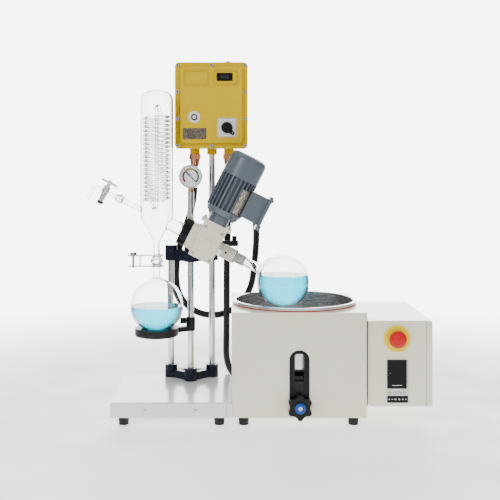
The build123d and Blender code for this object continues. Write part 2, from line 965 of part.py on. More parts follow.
# Forked clamp round the ball joint, drawn together by a thumbscrew
fork_thickness = 2.5
fork_reach = 20
clamp_left_x = receiver_x - 70
screw_x = receiver_x - 58
fork_rise = 10
upper_fork_z = ball_centre_z + fork_rise
lower_fork_z = joint_z - 0.5
spine_bottom = lower_fork_z
spine_top = upper_fork_z + fork_thickness
with BuildPart() as joint_clamp:
    for plate_bottom, hole in (
        (upper_fork_z, sqrt(ball_radius**2 - fork_rise**2) + glass_gap),
        (lower_fork_z, receiver_neck_radius + 2),
    ):
        with BuildSketch(Plane.XY.offset(plate_bottom)) as fork:
            with Locations(((clamp_left_x + receiver_x) / 2, head_y)):
                Rectangle(receiver_x - clamp_left_x, 26)
            with Locations((receiver_x, head_y)):
                Circle(fork_reach)
                Circle(hole, mode=Mode.SUBTRACT)
            with Locations((receiver_x + fork_reach / 2, head_y)):
                Rectangle(fork_reach, 2 * hole, mode=Mode.SUBTRACT)
            with Locations((screw_x, head_y)):
                Circle(3 + slip, mode=Mode.SUBTRACT)
        extrude(fork.sketch, amount=fork_thickness)
    with BuildSketch(Plane.XY.offset(spine_bottom)) as spine:
        with Locations((receiver_x - 40, head_y)):
            Rectangle(fork_thickness, 26)
    extrude(spine.sketch, amount=spine_top - spine_bottom)
save(joint_clamp, "joint_clamp")

with BuildPart() as clamp_screw:
    with BuildSketch(Plane.XY.offset(spine_bottom - 4)):
        with Locations((screw_x, head_y)):
            Circle(3)
    extrude(amount=spine_top - spine_bottom + 8)
    with BuildSketch(Plane.XY.offset(spine_top + glass_gap)):
        with Locations((screw_x, head_y)):
            RegularPolygon(8, 10)
    extrude(amount=6)
save(clamp_screw, "clamp_screw")

# Receiver support: a dished ring on an arm that slides on the middle rod
support_way = Vector(rods_x - receiver_x, middle_rod_y - head_y, 0)
support_angle = degrees(atan2(support_way.Y, support_way.X))
dish_bottom = dish_top_z - dish_height
boss_outer = 11.5
support_bar_z = dish_bottom + 2
support_knob_z = support_bar_z + clamp_height - 9
with BuildPart() as support_ring:
    with BuildSketch(Plane.XY.offset(dish_bottom)):
        with Locations((receiver_x, head_y)):
            Circle(dish_radius)
            Circle(dish_hole, mode=Mode.SUBTRACT)
    extrude(amount=dish_height)
    fillet(support_ring.edges().group_by(Axis.Z)[0].sort_by(SortBy.LENGTH)[-1], 5)
    with BuildSketch(Plane.XY.offset(support_bar_z)) as bar:
        with Locations(Location((receiver_x, head_y), support_angle)):
            with Locations(((support_way.length + dish_radius) / 2 - 2, 0)):
                Rectangle(support_way.length - dish_radius + 4, support_arm)
        with Locations((rods_x, middle_rod_y)):
            Circle(boss_outer)
    extrude(bar.sketch, amount=12)
    with BuildSketch(Plane.XY.offset(support_bar_z)) as boss:
        with Locations((rods_x, middle_rod_y)):
            Circle(boss_outer)
    extrude(boss.sketch, amount=clamp_height)
    with Locations((receiver_x, head_y, receiver_z)):
        Sphere(vessel_radius + glass_gap, mode=Mode.SUBTRACT)
    with BuildSketch(Plane.XY.offset(support_bar_z)) as rod_bore:
        with Locations((rods_x, middle_rod_y)):
            Circle(rod_radius + slip)
    extrude(rod_bore.sketch, amount=clamp_height, mode=Mode.SUBTRACT)
    rod_between(
        (rods_x, middle_rod_y, support_knob_z),
        (rods_x - boss_outer - 5, middle_rod_y, support_knob_z),
        3 + slip,
        mode=Mode.SUBTRACT,
    )
save(support_ring, "support_ring")

with BuildPart() as ring_knob:
    rod_between(
        (rods_x - rod_radius - slip - glass_gap, middle_rod_y, support_knob_z),
        (rods_x - boss_outer - 6, middle_rod_y, support_knob_z),
        3,
    )
    rod_between(
        (rods_x - boss_outer - glass_gap, middle_rod_y, support_knob_z),
        (rods_x - boss_outer - 15, middle_rod_y, support_knob_z),
        7.5,
    )
save(ring_knob, "ring_knob")

# Drive motor: bearing shield, finned stator and terminal box
stator_foot = motor_foot + shield_length
cowl_foot = stator_foot + stator_length
cowl_top = cowl_foot + cowl_length
plate_top = block_top + plate_thickness
terminal_foot = stator_foot + 4
terminal_end = worm_u + motor_radius + terminal_reach
with BuildPart() as motor_body:
    with BuildSketch(up_motor(plate_top)) as spigot:
        Circle(spigot_radius)
    extrude(spigot.sketch, amount=motor_foot - plate_top)
    with BuildSketch(up_motor(motor_foot)) as shield_foot:
        Circle(motor_radius - 8)
    with BuildSketch(up_motor(stator_foot)) as shield_top:
        Circle(motor_radius)
    loft([shield_foot.sketch, shield_top.sketch])
    with BuildSketch(up_motor(motor_foot)) as ears:
        with PolarLocations(motor_radius - ear_sink, ear_count, start_angle=45):
            Circle(ear_radius)
    extrude(ears.sketch, amount=shield_length)
    with BuildSketch(up_motor(stator_foot)) as stator:
        Circle(motor_core)
        with PolarLocations((motor_core + motor_radius) / 2 - 1, fin_count):
            Rectangle(motor_radius - motor_core + 2, fin_thickness)
    extrude(stator.sketch, amount=stator_length)
    with BuildSketch(up_motor(cowl_foot - 10)) as back_shield:
        Circle(motor_radius)
    extrude(back_shield.sketch, amount=10)
    with BuildSketch(up_motor(plate_top)) as shaft_bore:
        Circle(shaft_radius + slip)
    extrude(shaft_bore.sketch, amount=cowl_foot - plate_top, mode=Mode.SUBTRACT)
    with BuildSketch(up_motor(terminal_foot)) as terminal_seat:
        with Locations((terminal_end - worm_u, 0)):
            Rectangle(2 * (terminal_end - worm_u - motor_radius + 5), terminal_depth)
    extrude(terminal_seat.sketch, amount=terminal_length, mode=Mode.SUBTRACT)
save(motor_body, "motor_body")

# Terminal box on the motor's side, and its lid
seat_u = worm_u + motor_radius - 5
with BuildPart() as terminal_box:
    with BuildSketch(along_head(seat_u, v=terminal_foot + terminal_length / 2, y=motor_y)):
        Rectangle(terminal_depth - 2 * glass_gap, terminal_length - 2 * glass_gap)
    with BuildSketch(
        along_head(terminal_end, v=terminal_foot + terminal_length / 2, y=motor_y)
    ):
        Rectangle(terminal_depth, terminal_length)
    loft()
save(terminal_box, "terminal_box")

with BuildPart() as terminal_lid:
    with BuildSketch(along_head(terminal_end, v=terminal_foot + terminal_length / 2 - 2, y=motor_y)):
        RectangleRounded(lid_depth, lid_length, 6)
    extrude(amount=lid_thickness)
save(terminal_lid, "terminal_lid")

# Fan cowl, open below and slotted above the fan
cowl_sheet = 2
slot_count = 8
with BuildPart() as fan_cowl:
    turned(
        [
            (0, cowl_top),
            (motor_radius - cowl_round, cowl_top),
            (motor_radius - 3, cowl_top - 4),
            (motor_radius, cowl_top - cowl_round),
            (motor_radius, cowl_foot),
            (motor_radius - cowl_sheet, cowl_foot),
            (motor_radius - cowl_sheet, cowl_top - cowl_round),
            (motor_radius - cowl_round, cowl_top - cowl_sheet),
            (0, cowl_top - cowl_sheet),
        ],
        Plane(origin=motor_axis.position, x_dir=head.x_dir, z_dir=(0, -1, 0)),
        motor_axis,
    )
    with BuildSketch(up_motor(cowl_top - cowl_sheet - 1)) as grille:
        with PolarLocations(21, slot_count):
            SlotOverall(20, 5)
    extrude(grille.sketch, amount=cowl_sheet + 2, mode=Mode.SUBTRACT)
save(fan_cowl, "fan_cowl")

fan_foot = cowl_foot + 6
fan_height = 16
fan_hub = 14
fan_reach = 37
blade_count = 6
blade_thickness = 2.5
with BuildPart() as motor_fan:
    with BuildSketch(up_motor(fan_foot)):
        Circle(fan_hub)
        with PolarLocations((fan_hub - 1 + fan_reach) / 2, blade_count):
            Rectangle(fan_reach - fan_hub + 1, blade_thickness)
        Circle(shaft_radius + slip, mode=Mode.SUBTRACT)
    extrude(amount=fan_height)
save(motor_fan, "motor_fan")

# Vacuum gauge on top of the middle rod
gauge_front = middle_rod_y - gauge_thickness / 2
gauge_axis = Axis((rods_x, middle_rod_y, gauge_z), (0, 1, 0))
gauge_side = Plane(origin=(rods_x, middle_rod_y, gauge_z), x_dir=(0, 1, 0), z_dir=(1, 0, 0))
half = gauge_thickness / 2
with BuildPart() as gauge_case:
    turned(
        [
            (half, 0),
            (half, gauge_radius - 4),
            (half - 2, gauge_radius - 2),
            (-half + 8, gauge_radius - 2),
            (-half + 8, gauge_radius),
            (-half, gauge_radius - 1),
            (-half, gauge_radius - bezel_width),
            (-half + dial_depth, gauge_radius - bezel_width),
            (-half + dial_depth, 0),
        ],
        gauge_side,
        gauge_axis,
    )
    with BuildSketch(Plane.XY.offset(middle_rod_top)) as nipple:
        with Locations((rods_x, middle_rod_y)):
            RegularPolygon(7, 6)
    extrude(nipple.sketch, amount=gauge_z - gauge_radius + 4 - middle_rod_top)
save(gauge_case, "gauge_case")

lens_radius = gauge_radius - bezel_width - slip
with BuildPart() as gauge_lens:
    with BuildSketch(Plane.XZ.offset(-(gauge_front + 3)) * Location((rods_x, gauge_z))):
        Circle(lens_radius)
    extrude(amount=2)
save(gauge_lens, "gauge_lens")

needle_y = gauge_front + dial_depth - 1.5
needle_plane = Plane(origin=(rods_x, needle_y, gauge_z), x_dir=(1, 0, -1), z_dir=(0, -1, 0))
with BuildPart() as gauge_needle:
    with BuildSketch(needle_plane):
        with BuildLine():
            Polyline((-9, -1.4), (-9, 1.4), (needle_length, 0.5), (needle_length, -0.5), close=True)
        make_face()
        Circle(3)
    extrude(amount=0.8)
    with BuildSketch(needle_plane):
        Circle(1)
    extrude(amount=-1.2)
save(gauge_needle, "gauge_needle")

# Control box with its bosses, cover, bolts and glands
box_back_y = box_front_y + cover_thickness + cover_raise + box_depth
body_front_y = box_back_y - box_depth
box_top_z = box_bottom_z + box_height
box_z = (box_bottom_z + box_top_z) / 2
body_front = Plane(origin=(right_rod_x, body_front_y, box_z), x_dir=(1, 0, 0), z_dir=(0, -1, 0))
boss_places = [
    (right_rod_x - boss_spread, gland_y),
    (right_rod_x, outer_rod_y),
    (right_rod_x + boss_spread, gland_y),
]
with BuildPart() as box_body:
    with BuildSketch(body_front):
        RectangleRounded(box_width - 8, box_height - 8, cover_corner)
    extrude(amount=-box_depth)
    fillet(box_body.edges().group_by(Axis.Y)[-1], 8)
    with BuildSketch(body_front):
        RectangleRounded(box_width, box_height, cover_corner)
    extrude(amount=-12)
    with BuildSketch(Plane.XY.offset(box_bottom_z - boss_height)) as bosses:
        with Locations(*boss_places):
            Circle(boss_radius)
    extrude(bosses.sketch, amount=boss_height + 12)
    with BuildSketch(Plane.XY.offset(box_top_z - box_height / 10)) as lug:
        with Locations((right_rod_x + lug_side, body_front_y + box_depth / 2 - 4)):
            RectangleRounded(lug_width, lug_depth, 3)
    extrude(lug.sketch, amount=box_height / 10 + lug_height)
    with BuildSketch(Plane.XY.offset(box_bottom_z - boss_height)) as boss_bore:
        with Locations((right_rod_x, outer_rod_y)):
            Circle(rod_radius + slip)
    extrude(boss_bore.sketch, amount=boss_height, mode=Mode.SUBTRACT)
save(box_body, "box_body")

cover_back = body_front
cover_front = cover_back.offset(cover_thickness)
raised_face = cover_back.offset(cover_thickness + cover_raise)
bolt_x = box_width / 2 - bolt_inset
bolt_rows = [box_height / 2 - bolt_inset, (box_height / 2 - bolt_inset) / 3]
bolt_places = [(0, bolt_rows[0]), (0, -bolt_rows[0])]
for row in (bolt_rows[0], bolt_rows[1], -bolt_rows[1], -bolt_rows[0]):
    bolt_places.append((-bolt_x, row))
    bolt_places.append((bolt_x, row))
frame_z = box_height / 2 - 40
button_place = (-42.3, -30.5)
switch_place = (39.2, -56.5)
with BuildPart() as box_cover:
    with BuildSketch(cover_back):
        RectangleRounded(box_width, box_height, cover_corner)
    extrude(amount=cover_thickness)
    with BuildSketch(cover_front) as raised_foot:
        RectangleRounded(box_width - 2 * cover_inset, box_height - 2 * cover_inset, cover_corner)
    extrude(raised_foot.sketch, amount=cover_raise, taper=12)
    with BuildSketch(raised_face) as frames:
        with Locations((-37, frame_z)):
            RectangleRounded(clock_width, clock_height, 3)
            RectangleRounded(
                clock_width - 2 * frame_width, clock_height - 2 * frame_width, 2, mode=Mode.SUBTRACT
            )
        with Locations((36, frame_z)):
            RectangleRounded(display_width, display_height, 3)
            RectangleRounded(
                display_width - 2 * frame_width, display_height - 2 * frame_width, 2, mode=Mode.SUBTRACT
            )
    extrude(frames.sketch, amount=frame_raise)
    with BuildSketch(raised_face) as button_seat:
        with Locations(button_place):
            Circle(button_radius + slip)
        with Locations(switch_place):
            Circle(4 + slip)
    extrude(button_seat.sketch, amount=-(button_stem + button_travel + seat_spare), mode=Mode.SUBTRACT)
save(box_cover, "box_cover")

with BuildPart() as cover_bolts:
    with BuildSketch(cover_front):
        with Locations(*bolt_places):
            Circle(bolt_radius)
            RegularPolygon(bolt_radius * 0.5, 6, mode=Mode.SUBTRACT)
    extrude(amount=5)
save(cover_bolts, "cover_bolts")

gland_top = box_bottom_z - boss_height
gland_foot = gland_top - gland_length
with BuildPart() as cable_glands:
    for side in (-1, 1):
        gland_x = right_rod_x + side * boss_spread
        with BuildSketch(Plane.XY.offset(gland_top)) as hexagon:
            with Locations((gland_x, gland_y)):
                RegularPolygon(gland_radius, 6)
        extrude(hexagon.sketch, amount=-12)
        with BuildSketch(Plane.XY.offset(gland_top - 12)) as collar_top:
            with Locations((gland_x, gland_y)):
                Circle(gland_radius - 1.5)
        with BuildSketch(Plane.XY.offset(gland_foot)) as collar_foot:
            with Locations((gland_x, gland_y)):
                Circle(cable / 2 + 2)
        loft([collar_top.sketch, collar_foot.sketch])
save(cable_glands, "cable_glands")

with BuildPart() as start_button:
    with BuildSketch(raised_face.offset(-button_stem)):
        with Locations(button_place):
            Circle(button_radius)
    extrude(amount=button_stem + button_height)
    fillet(start_button.edges().group_by(Axis.Y)[0], 1)
save(start_button, "start_button")

with BuildPart() as switch_knob:
    with BuildSketch(raised_face.offset(-10)):
        with Locations(switch_place):
            Circle(4)
    extrude(amount=12)
    with BuildSketch(raised_face.offset(glass_gap)):
        with Locations(switch_place):
            Circle(switch_radius)
    extrude(amount=5)
    with BuildSketch(raised_face.offset(5)):
        with Locations(Location(switch_place, -45)):
            SlotOverall(2 * switch_radius - 2, 9)
    extrude(amount=switch_height - 5)
save(switch_knob, "switch_knob")

# Bath housing: sheet walls, a round mouth for the pan and a slot in front
mouth_radius = pan_radius + pan_gap
with BuildPart() as bath_housing:
    with BuildSketch(Plane.XY.offset(foot_height)):
        with Locations((bath_x, pan_y)):
            Rectangle(bath_width, bath_depth)
    extrude(amount=bath_height)
    fillet(bath_housing.edges().filter_by(Axis.Z), bath_corner)
    offset(amount=-bath_sheet, openings=bath_housing.faces().sort_by(Axis.Z)[0])
    with BuildSketch(Plane.XY.offset(foot_height)) as floor_sheet:
        with Locations((bath_x, pan_y)):
            RectangleRounded(bath_width - bath_sheet, bath_depth - bath_sheet, bath_corner)
    extrude(floor_sheet.sketch, amount=bath_sheet)
    with BuildSketch(Plane.XY.offset(bath_top)) as mouth:
        with Locations((bath_x, pan_y)):
            Circle(mouth_radius)
    extrude(mouth.sketch, amount=-2 * bath_sheet, mode=Mode.SUBTRACT)
    with BuildSketch(Plane(origin=(bath_x, front_y, 0), x_dir=(1, 0, 0), z_dir=(0, -1, 0))) as slot:
        with Locations((0, (slot_top_z + slot_bottom_z) / 2)):
            Rectangle(slot_width, slot_top_z - slot_bottom_z)
    extrude(slot.sketch, amount=-2 * bath_sheet, mode=Mode.SUBTRACT)
save(bath_housing, "bath_housing")

# Pan with a rolled rim that rests on a gasket
rim_foot = bath_top + gasket
pan_floor = rim_foot - pan_depth
pan_axis = Axis((bath_x, pan_y, 0), (0, 0, 1))
pan_side = Plane(origin=(bath_x, pan_y, 0), x_dir=(1, 0, 0), z_dir=(0, -1, 0))
with BuildPart() as rim_gasket:
    turned(
        [
            (mouth_radius, bath_top),
            (rim_radius - 0.5, bath_top),
            (rim_radius - 0.5, rim_foot),
            (mouth_radius, rim_foot),
        ],
        pan_side,
        pan_axis,
    )
save(rim_gasket, "rim_gasket")

with BuildPart() as bath_pan:
    with BuildSketch(pan_side) as pan_section:
        with BuildLine():
            FilletPolyline(
                (0, pan_floor),
                (pan_radius, pan_floor),
                (pan_radius, rim_foot),
                radius=pan_bend,
            )
            Polyline(
                (pan_radius, rim_foot),
                (rim_radius, rim_foot),
                (rim_radius, rim_foot + rim_height - 1),
                (rim_radius - 1, rim_foot + rim_height),
                (pan_radius - pan_wall + 1, rim_foot + rim_height),
                (pan_radius - pan_wall, rim_foot + rim_height - 1),
            )
            FilletPolyline(
                (pan_radius - pan_wall, rim_foot + rim_height - 1),
                (pan_radius - pan_wall, pan_floor + pan_wall),
                (0, pan_floor + pan_wall),
                radius=pan_bend - pan_wall,
            )
            Line((0, pan_floor + pan_wall), (0, pan_floor))
        make_face()
    revolve(pan_section.sketch, axis=pan_axis)
save(bath_pan, "bath_pan")

# Heating ring on the floor of the pan
heater_radius = 85
heater_tube = 5
with BuildPart() as heater_ring:
    with BuildSketch(pan_side) as heater_section:
        with Locations((heater_radius, pan_floor + pan_wall + heater_tube)):
            Circle(heater_tube)
    revolve(heater_section.sketch, axis=pan_axis)
save(heater_ring, "heater_ring")

# Lift bracket: a bar under the pan, a slider in the slot and its stud
slider_width = slot_width - 1
slider_depth = 12
with BuildPart() as lift_bracket:
    with BuildSketch(Plane.XY.offset(slot_bottom_z + 0.5)) as slider:
        with Locations((bath_x, front_y + slider_depth / 2 - 1)):
            Rectangle(slider_width, slider_depth)
    extrude(slider.sketch, amount=slider_top_z - slot_bottom_z - 0.5)
    with BuildSketch(Plane.XY.offset(pan_floor - 8)) as bar:
        with Locations((bath_x, front_y + (pan_radius + slider_depth) / 2)):
            Rectangle(slider_width, pan_radius - slider_depth)
    extrude(bar.sketch, amount=8)
    with BuildSketch(Plane.XY.offset(slot_bottom_z + 0.5)) as upright:
        with Locations((bath_x, front_y + slider_depth - 2)):
            Rectangle(slider_width, 6)
    extrude(upright.sketch, amount=pan_floor - slot_bottom_z - 0.5)
    rod_between((bath_x, front_y, stud_z), (bath_x, front_y - 20, stud_z), stud_radius)
save(lift_bracket, "lift_bracket")

# Star knob that locks the lift
knob_back = Plane(
    origin=(bath_x, front_y - 1 - glass_gap, stud_z), x_dir=(1, 0, 0), z_dir=(0, -1, 0)
)
with BuildPart() as star_knob:
    with BuildSketch(knob_back) as hub:
        Circle(14)
    extrude(hub.sketch, amount=8)
    with BuildSketch(knob_back.offset(6)) as star:
        Circle(knob_radius - 5)
        with PolarLocations(knob_radius - 6.5, knob_lobes, start_angle=30):
            Circle(6.5)
        with PolarLocations(knob_radius + 1.5, knob_lobes):
            Circle(8, mode=Mode.SUBTRACT)
    extrude(star.sketch, amount=knob_length - 10)
    with BuildSketch(knob_back.offset(knob_length - 4)) as crown:
        Circle(13)
    extrude(crown.sketch, amount=4)
    with BuildSketch(knob_back) as stud_bore:
        Circle(stud_radius + slip)
    extrude(stud_bore.sketch, amount=20, mode=Mode.SUBTRACT)
save(star_knob, "star_knob")

# Bath controller, spaced off the bath's side
controller_left = bath_right + controller_gap
controller_x = controller_left + controller_width / 2
controller_z = controller_bottom_z + controller_height / 2
controller_front = Plane(
    origin=(controller_x, controller_front_y, controller_z), x_dir=(1, 0, 0), z_dir=(0, -1, 0)
)
stop_place = (stop_x - controller_x, stop_z - controller_z)
with BuildPart() as controller_box:
    with BuildSketch(controller_front) as case:
        Rectangle(controller_width, controller_height)
    extrude(case.sketch, amount=-controller_depth)
    fillet(controller_box.edges().filter_by(Axis.Y).group_by(Axis.X)[0], controller_corner)
    with BuildSketch(controller_front.offset(-30)) as spacer:
        with Locations((-controller_width / 2 - controller_gap / 2 + 1, 0)):
            Rectangle(controller_gap + 2, controller_height - 60)
    extrude(spacer.sketch, amount=-(controller_depth - 60))
    with BuildSketch(controller_front) as stop_bore:
        with Locations(stop_place):
            Circle(stop_stem + slip)
    extrude(stop_bore.sketch, amount=-30, mode=Mode.SUBTRACT)
save(controller_box, "controller_box")

with BuildPart() as controller_cover:
    with BuildSketch(controller_front) as side:
        with Locations(((controller_width + end_cover) / 2, 0)):
            Rectangle(end_cover, controller_height)
    extrude(side.sketch, amount=-controller_depth)
    fillet(controller_cover.edges().filter_by(Axis.Y).group_by(Axis.X)[-1], 3)
save(controller_cover, "controller_cover")

with BuildPart() as stop_disc:
    with BuildSketch(controller_front):
        with Locations(stop_place):
            Circle(disc_radius)
            Circle(stop_stem + slip, mode=Mode.SUBTRACT)
    extrude(amount=disc_thickness)
save(stop_disc, "stop_disc")

stop_neck = disc_thickness + stop_travel + 2
with BuildPart() as stop_button:
    turned(
        [
            (0, -20),
            (stop_stem, -20),
            (stop_stem, stop_neck + 2),
            (mushroom_radius - 2, stop_neck),
            (mushroom_radius, stop_neck + 3),
            (mushroom_radius - 1, stop_neck + mushroom_height - 6),
            (mushroom_radius - 7, stop_neck + mushroom_height - 1),
            (0, stop_neck + mushroom_height),
        ],
        Plane(origin=(stop_x, controller_front_y, stop_z), x_dir=(-1, 0, 0), z_dir=(0, 0, 1)),
        Axis((stop_x, controller_front_y, stop_z), (0, -1, 0)),
    )
save(stop_button, "stop_button")

# Cables: straight runs joined by arcs as large as the runs allow


def bend_radii(points):
    """Radius at each corner: 0.45 of the shorter run over tan of half the turn."""
    radii = []
    for before, here, after in zip(points, points[1:], points[2:]):
        run_in = Vector(*here) - Vector(*before)
        run_out = Vector(*after) - Vector(*here)
        turn = run_in.get_angle(run_out)
        radii.append(0.45 * min(run_in.length, run_out.length) / tan(radians(turn / 2)))
    return radii


def cable_tube(points, name):
    """Round tube along the points, into the part being made."""
    radii = bend_radii(points)
    print(name, "bend radii", [round(radius) for radius in radii])
    with BuildLine() as route:
        FilletPolyline(*points, radius=radii)
    way = route.wires()[0]
    with BuildSketch(Plane(origin=way @ 0, z_dir=way % 0)) as section:
        Circle(cable / 2)
    sweep(section.sketch, path=way)
    print(name, "length", round(way.length), "section times length", round(pi * cable**2 / 4 * way.length))


motor_outlet = up_motor(terminal_foot + 20, u=terminal_end - 14, y=motor_y + terminal_depth / 2).origin
motor_cable_points = [
    (right_rod_x - boss_spread, gland_y, gland_foot),
    (right_rod_x - boss_spread, gland_y, 560),
    (-152, 116, 500),
    (-174, 134, 435),
    (-197, 142, 360),
    (-198, 146, 272),
    (-160, 154, 220),
    (-98, 168, 200),
    (-36, 190, 220),
    (2, 192, 272),
    (10, 172, 340),
    (15, 144, 413),
    (12, 118, 458),
    (motor_outlet.X, 74, motor_outlet.Z),
    (motor_outlet.X, motor_outlet.Y, motor_outlet.Z),
]
with BuildPart() as motor_cable:
    cable_tube(motor_cable_points, "motor cable")
save(motor_cable, "motor_cable")

coil_x = 112
coil_y = bath_back_y + 14 + coil_mid_radius + cable
mains_cable_points = [
    (right_rod_x + boss_spread, gland_y, gland_foot),
    (right_rod_x + boss_spread, gland_y, 545),
    (-61, 118, 450),
    (-64, 140, 350),
    (-64, 148, 250),
    (-65, 160, 150),
    (-66, 179, 78),
    (-42, 188, 34),
    (4, 200, cable / 2),
    (coil_x - 58, coil_y - coil_mid_radius, cable / 2),
]
with BuildPart() as mains_cable:
    cable_tube(mains_cable_points, "mains cable")
save(mains_cable, "mains_cable")

with BuildPart() as mains_coil:
    with BuildSketch(Plane(origin=(coil_x, coil_y, 0), x_dir=(1, 0, 0), z_dir=(0, -1, 0))) as bundle:
        with Locations((coil_mid_radius, cable)):
            RectangleRounded(2 * cable, 2 * cable, cable / 2 - 0.5)
    revolve(bundle.sketch, axis=Axis((coil_x, coil_y, 0), (0, 0, 1)))
save(mains_coil, "mains_coil")

# Plug with its tapered strain relief, lying beside the coil
plug_radius = 19.5
plug_length = 36
relief_length = 26
pin_radius = 2.4
pin_length = 19
pin_spread = 9.5
plug_x = coil_x - 64
plug_y = coil_y + coil_mid_radius + cable / 2
plug_side = Plane(origin=(plug_x, plug_y, plug_radius), x_dir=(-1, 0, 0), z_dir=(0, 1, 0))
with BuildPart() as mains_plug:
    turned(
        [
            (-relief_length, 0),
            (-relief_length, cable / 2),
            (0, cable / 2 + 3),
            (6, plug_radius - 3),
            (10, plug_radius),
            (plug_length - 2, plug_radius),
            (plug_length, plug_radius - 2),
            (plug_length, 0),
        ],
        plug_side,
        Axis((plug_x, plug_y, plug_radius), (-1, 0, 0)),
    )
    for side in (-1, 1):
        pin_y = plug_y + side * pin_spread
        rod_between(
            (plug_x - plug_length, pin_y, plug_radius),
            (plug_x - plug_length - pin_length, pin_y, plug_radius),
            pin_radius,
        )
save(mains_plug, "mains_plug")
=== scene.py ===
from math import atan2, cos, pi, radians, sin

import bmesh
import bpy
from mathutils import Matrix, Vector


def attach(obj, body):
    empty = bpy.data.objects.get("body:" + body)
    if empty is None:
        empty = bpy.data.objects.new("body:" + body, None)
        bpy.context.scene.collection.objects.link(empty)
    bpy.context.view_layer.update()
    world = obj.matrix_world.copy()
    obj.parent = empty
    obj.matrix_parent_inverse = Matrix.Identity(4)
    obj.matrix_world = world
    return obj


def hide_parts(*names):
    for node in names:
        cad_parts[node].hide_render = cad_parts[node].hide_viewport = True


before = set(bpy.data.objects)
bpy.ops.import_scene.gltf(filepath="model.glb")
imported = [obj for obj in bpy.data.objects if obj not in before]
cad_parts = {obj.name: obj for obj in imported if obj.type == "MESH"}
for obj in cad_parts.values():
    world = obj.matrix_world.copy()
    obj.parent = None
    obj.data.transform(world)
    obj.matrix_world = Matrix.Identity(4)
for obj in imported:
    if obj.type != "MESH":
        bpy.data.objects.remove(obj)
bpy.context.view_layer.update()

bl_info = {
    "name": "Rotary evaporator",
    "version": (1, 0, 0),
    "blender": (4, 5, 0),
    "location": "3D View > Sidebar > Evaporator",
    "description": "Dresses a rotary evaporator: finishes, coil, dial, trim, leads and stage",
    "category": "Object",
}

RIGHT = Vector((1, 0, 0))
BACK = Vector((0, 1, 0))
FRONT = Vector((0, -1, 0))
UP = Vector((0, 0, 1))

# Places of the solids, in millimetres. The head's axis is tilted: u runs along it from
# the cap, and v is square to it, towards the motor.
TILT = radians(26.7)
ACROSS = Vector((cos(TILT), 0, -sin(TILT)))
UP_MOTOR = Vector((sin(TILT), 0, cos(TILT)))
CAP = Vector((-165.4, 8.5, 438))
CAP_RADIUS = 33.9
GEARBOX_U = 30.3
GEARBOX_FRONT_Y = CAP.y - 56
GEARBOX_TOP_V = 55.5
WORM_U = 60.8
COLLAR_U = 135.3
COLLAR_SCREW_U = 112
LID_U = 154.8
FLANGE_U = -180.2
STOPCOCK_U = -222
MOTOR_Y = -24.5
FRONT_Y = -146.5
BATH_X = 104.5
BATH_BACK_Y = 173.5
RODS_X = -155
RIGHT_ROD_X = -102
BOX_FACE_Y = 27.5
COVER_FACE_Y = 39.5
BOX_BACK_Y = 137.5
BOX_Z = 753.5
BOX_TOP = 862
BOX_WINDOW = Vector((-68.4, BOX_FACE_Y, 823.5))
SWITCH = Vector((-62.8, BOX_FACE_Y, 697))
START = Vector((-144.3, BOX_FACE_Y, 723))
NAMEPLATE = Vector((-143.5, BOX_FACE_Y, 682))
DIAL = Vector((RODS_X, 61.4, 574.5))
CONDENSER = Vector((-236.5, 8.5, 0))
STOP = Vector((330.6, -132.5, 201))
MODULE = Vector((332, -132.5, 102))
CONTROLLER_END_X = 412.8
CONTROLLER_Z = 143
KNOB = Vector((BATH_X, -173.8, 50.2))
SLOT_Z = 101.5

# The leads, in millimetres. The mains lead is put away in turns of (radius, height).
LEAD_RADIUS = 8.5
COIL_CENTRE = Vector((112, 298, 0))
COIL_TURNS = ((102, 8.5), (85, 8.5), (85, 25.5), (102, 25.5))
COIL_STEPS = 12
COIL_SWELL = 1.0175  # the curve runs inside its points by this much
MOTOR_ROUTE = (
    (-146, 101.5, 604), (-146, 101.5, 560), (-152, 116, 500), (-174, 134, 435),
    (-197, 142, 360), (-198, 146, 272), (-160, 154, 220), (-98, 168, 200),
    (-36, 190, 220), (2, 192, 272), (10, 172, 340), (15, 144, 413), (12, 118, 458),
)
MAINS_ROUTE = (
    (-58, 101.5, 604), (-58, 101.5, 545), (-61, 118, 450), (-64, 140, 350), (-64, 148, 250),
    (-65, 160, 150), (-66, 179, 78), (-42, 188, 34), (4, 200, 8.5), (54, 204.5, 8.5),
)

# The studio: shades of the backdrop from front to back, and lights as name, place in
# metres, size and watts
BACKDROP = ((0.0, 0.11), (0.17, 0.10), (0.20, 0.012), (0.30, 0.012), (0.34, 0.06),
            (0.72, 0.06), (0.76, 0.012), (0.84, 0.02), (0.965, 1.0))
BACKDROP_STRENGTH = 7.0
LIGHTS = (("key", (-1.6, -2.2, 1.9), 0.8, 30), ("fill", (2.0, -2.0, 1.3), 0.7, 10),
          ("top", (0.0, 0.2, 2.8), 2.2, 40))
FLOOR_REACH = 2
FADE_FROM, FADE_TO = 0.6, 1.9


def at_head(u, v=0.0, y=CAP.y):
    """A point along the head's axis, v square to it."""
    point = CAP + ACROSS * u + UP_MOTOR * v
    return Vector((point.x, y, point.z))


# Settings

def paint(name, description, colour):
    return bpy.props.FloatVectorProperty(name=name, description=description, default=colour,
                                         subtype="COLOR", size=3, min=0, max=1)


def measure(name, description, metres, least):
    return bpy.props.FloatProperty(name=name, description=description, default=metres,
                                   unit="LENGTH", min=least)


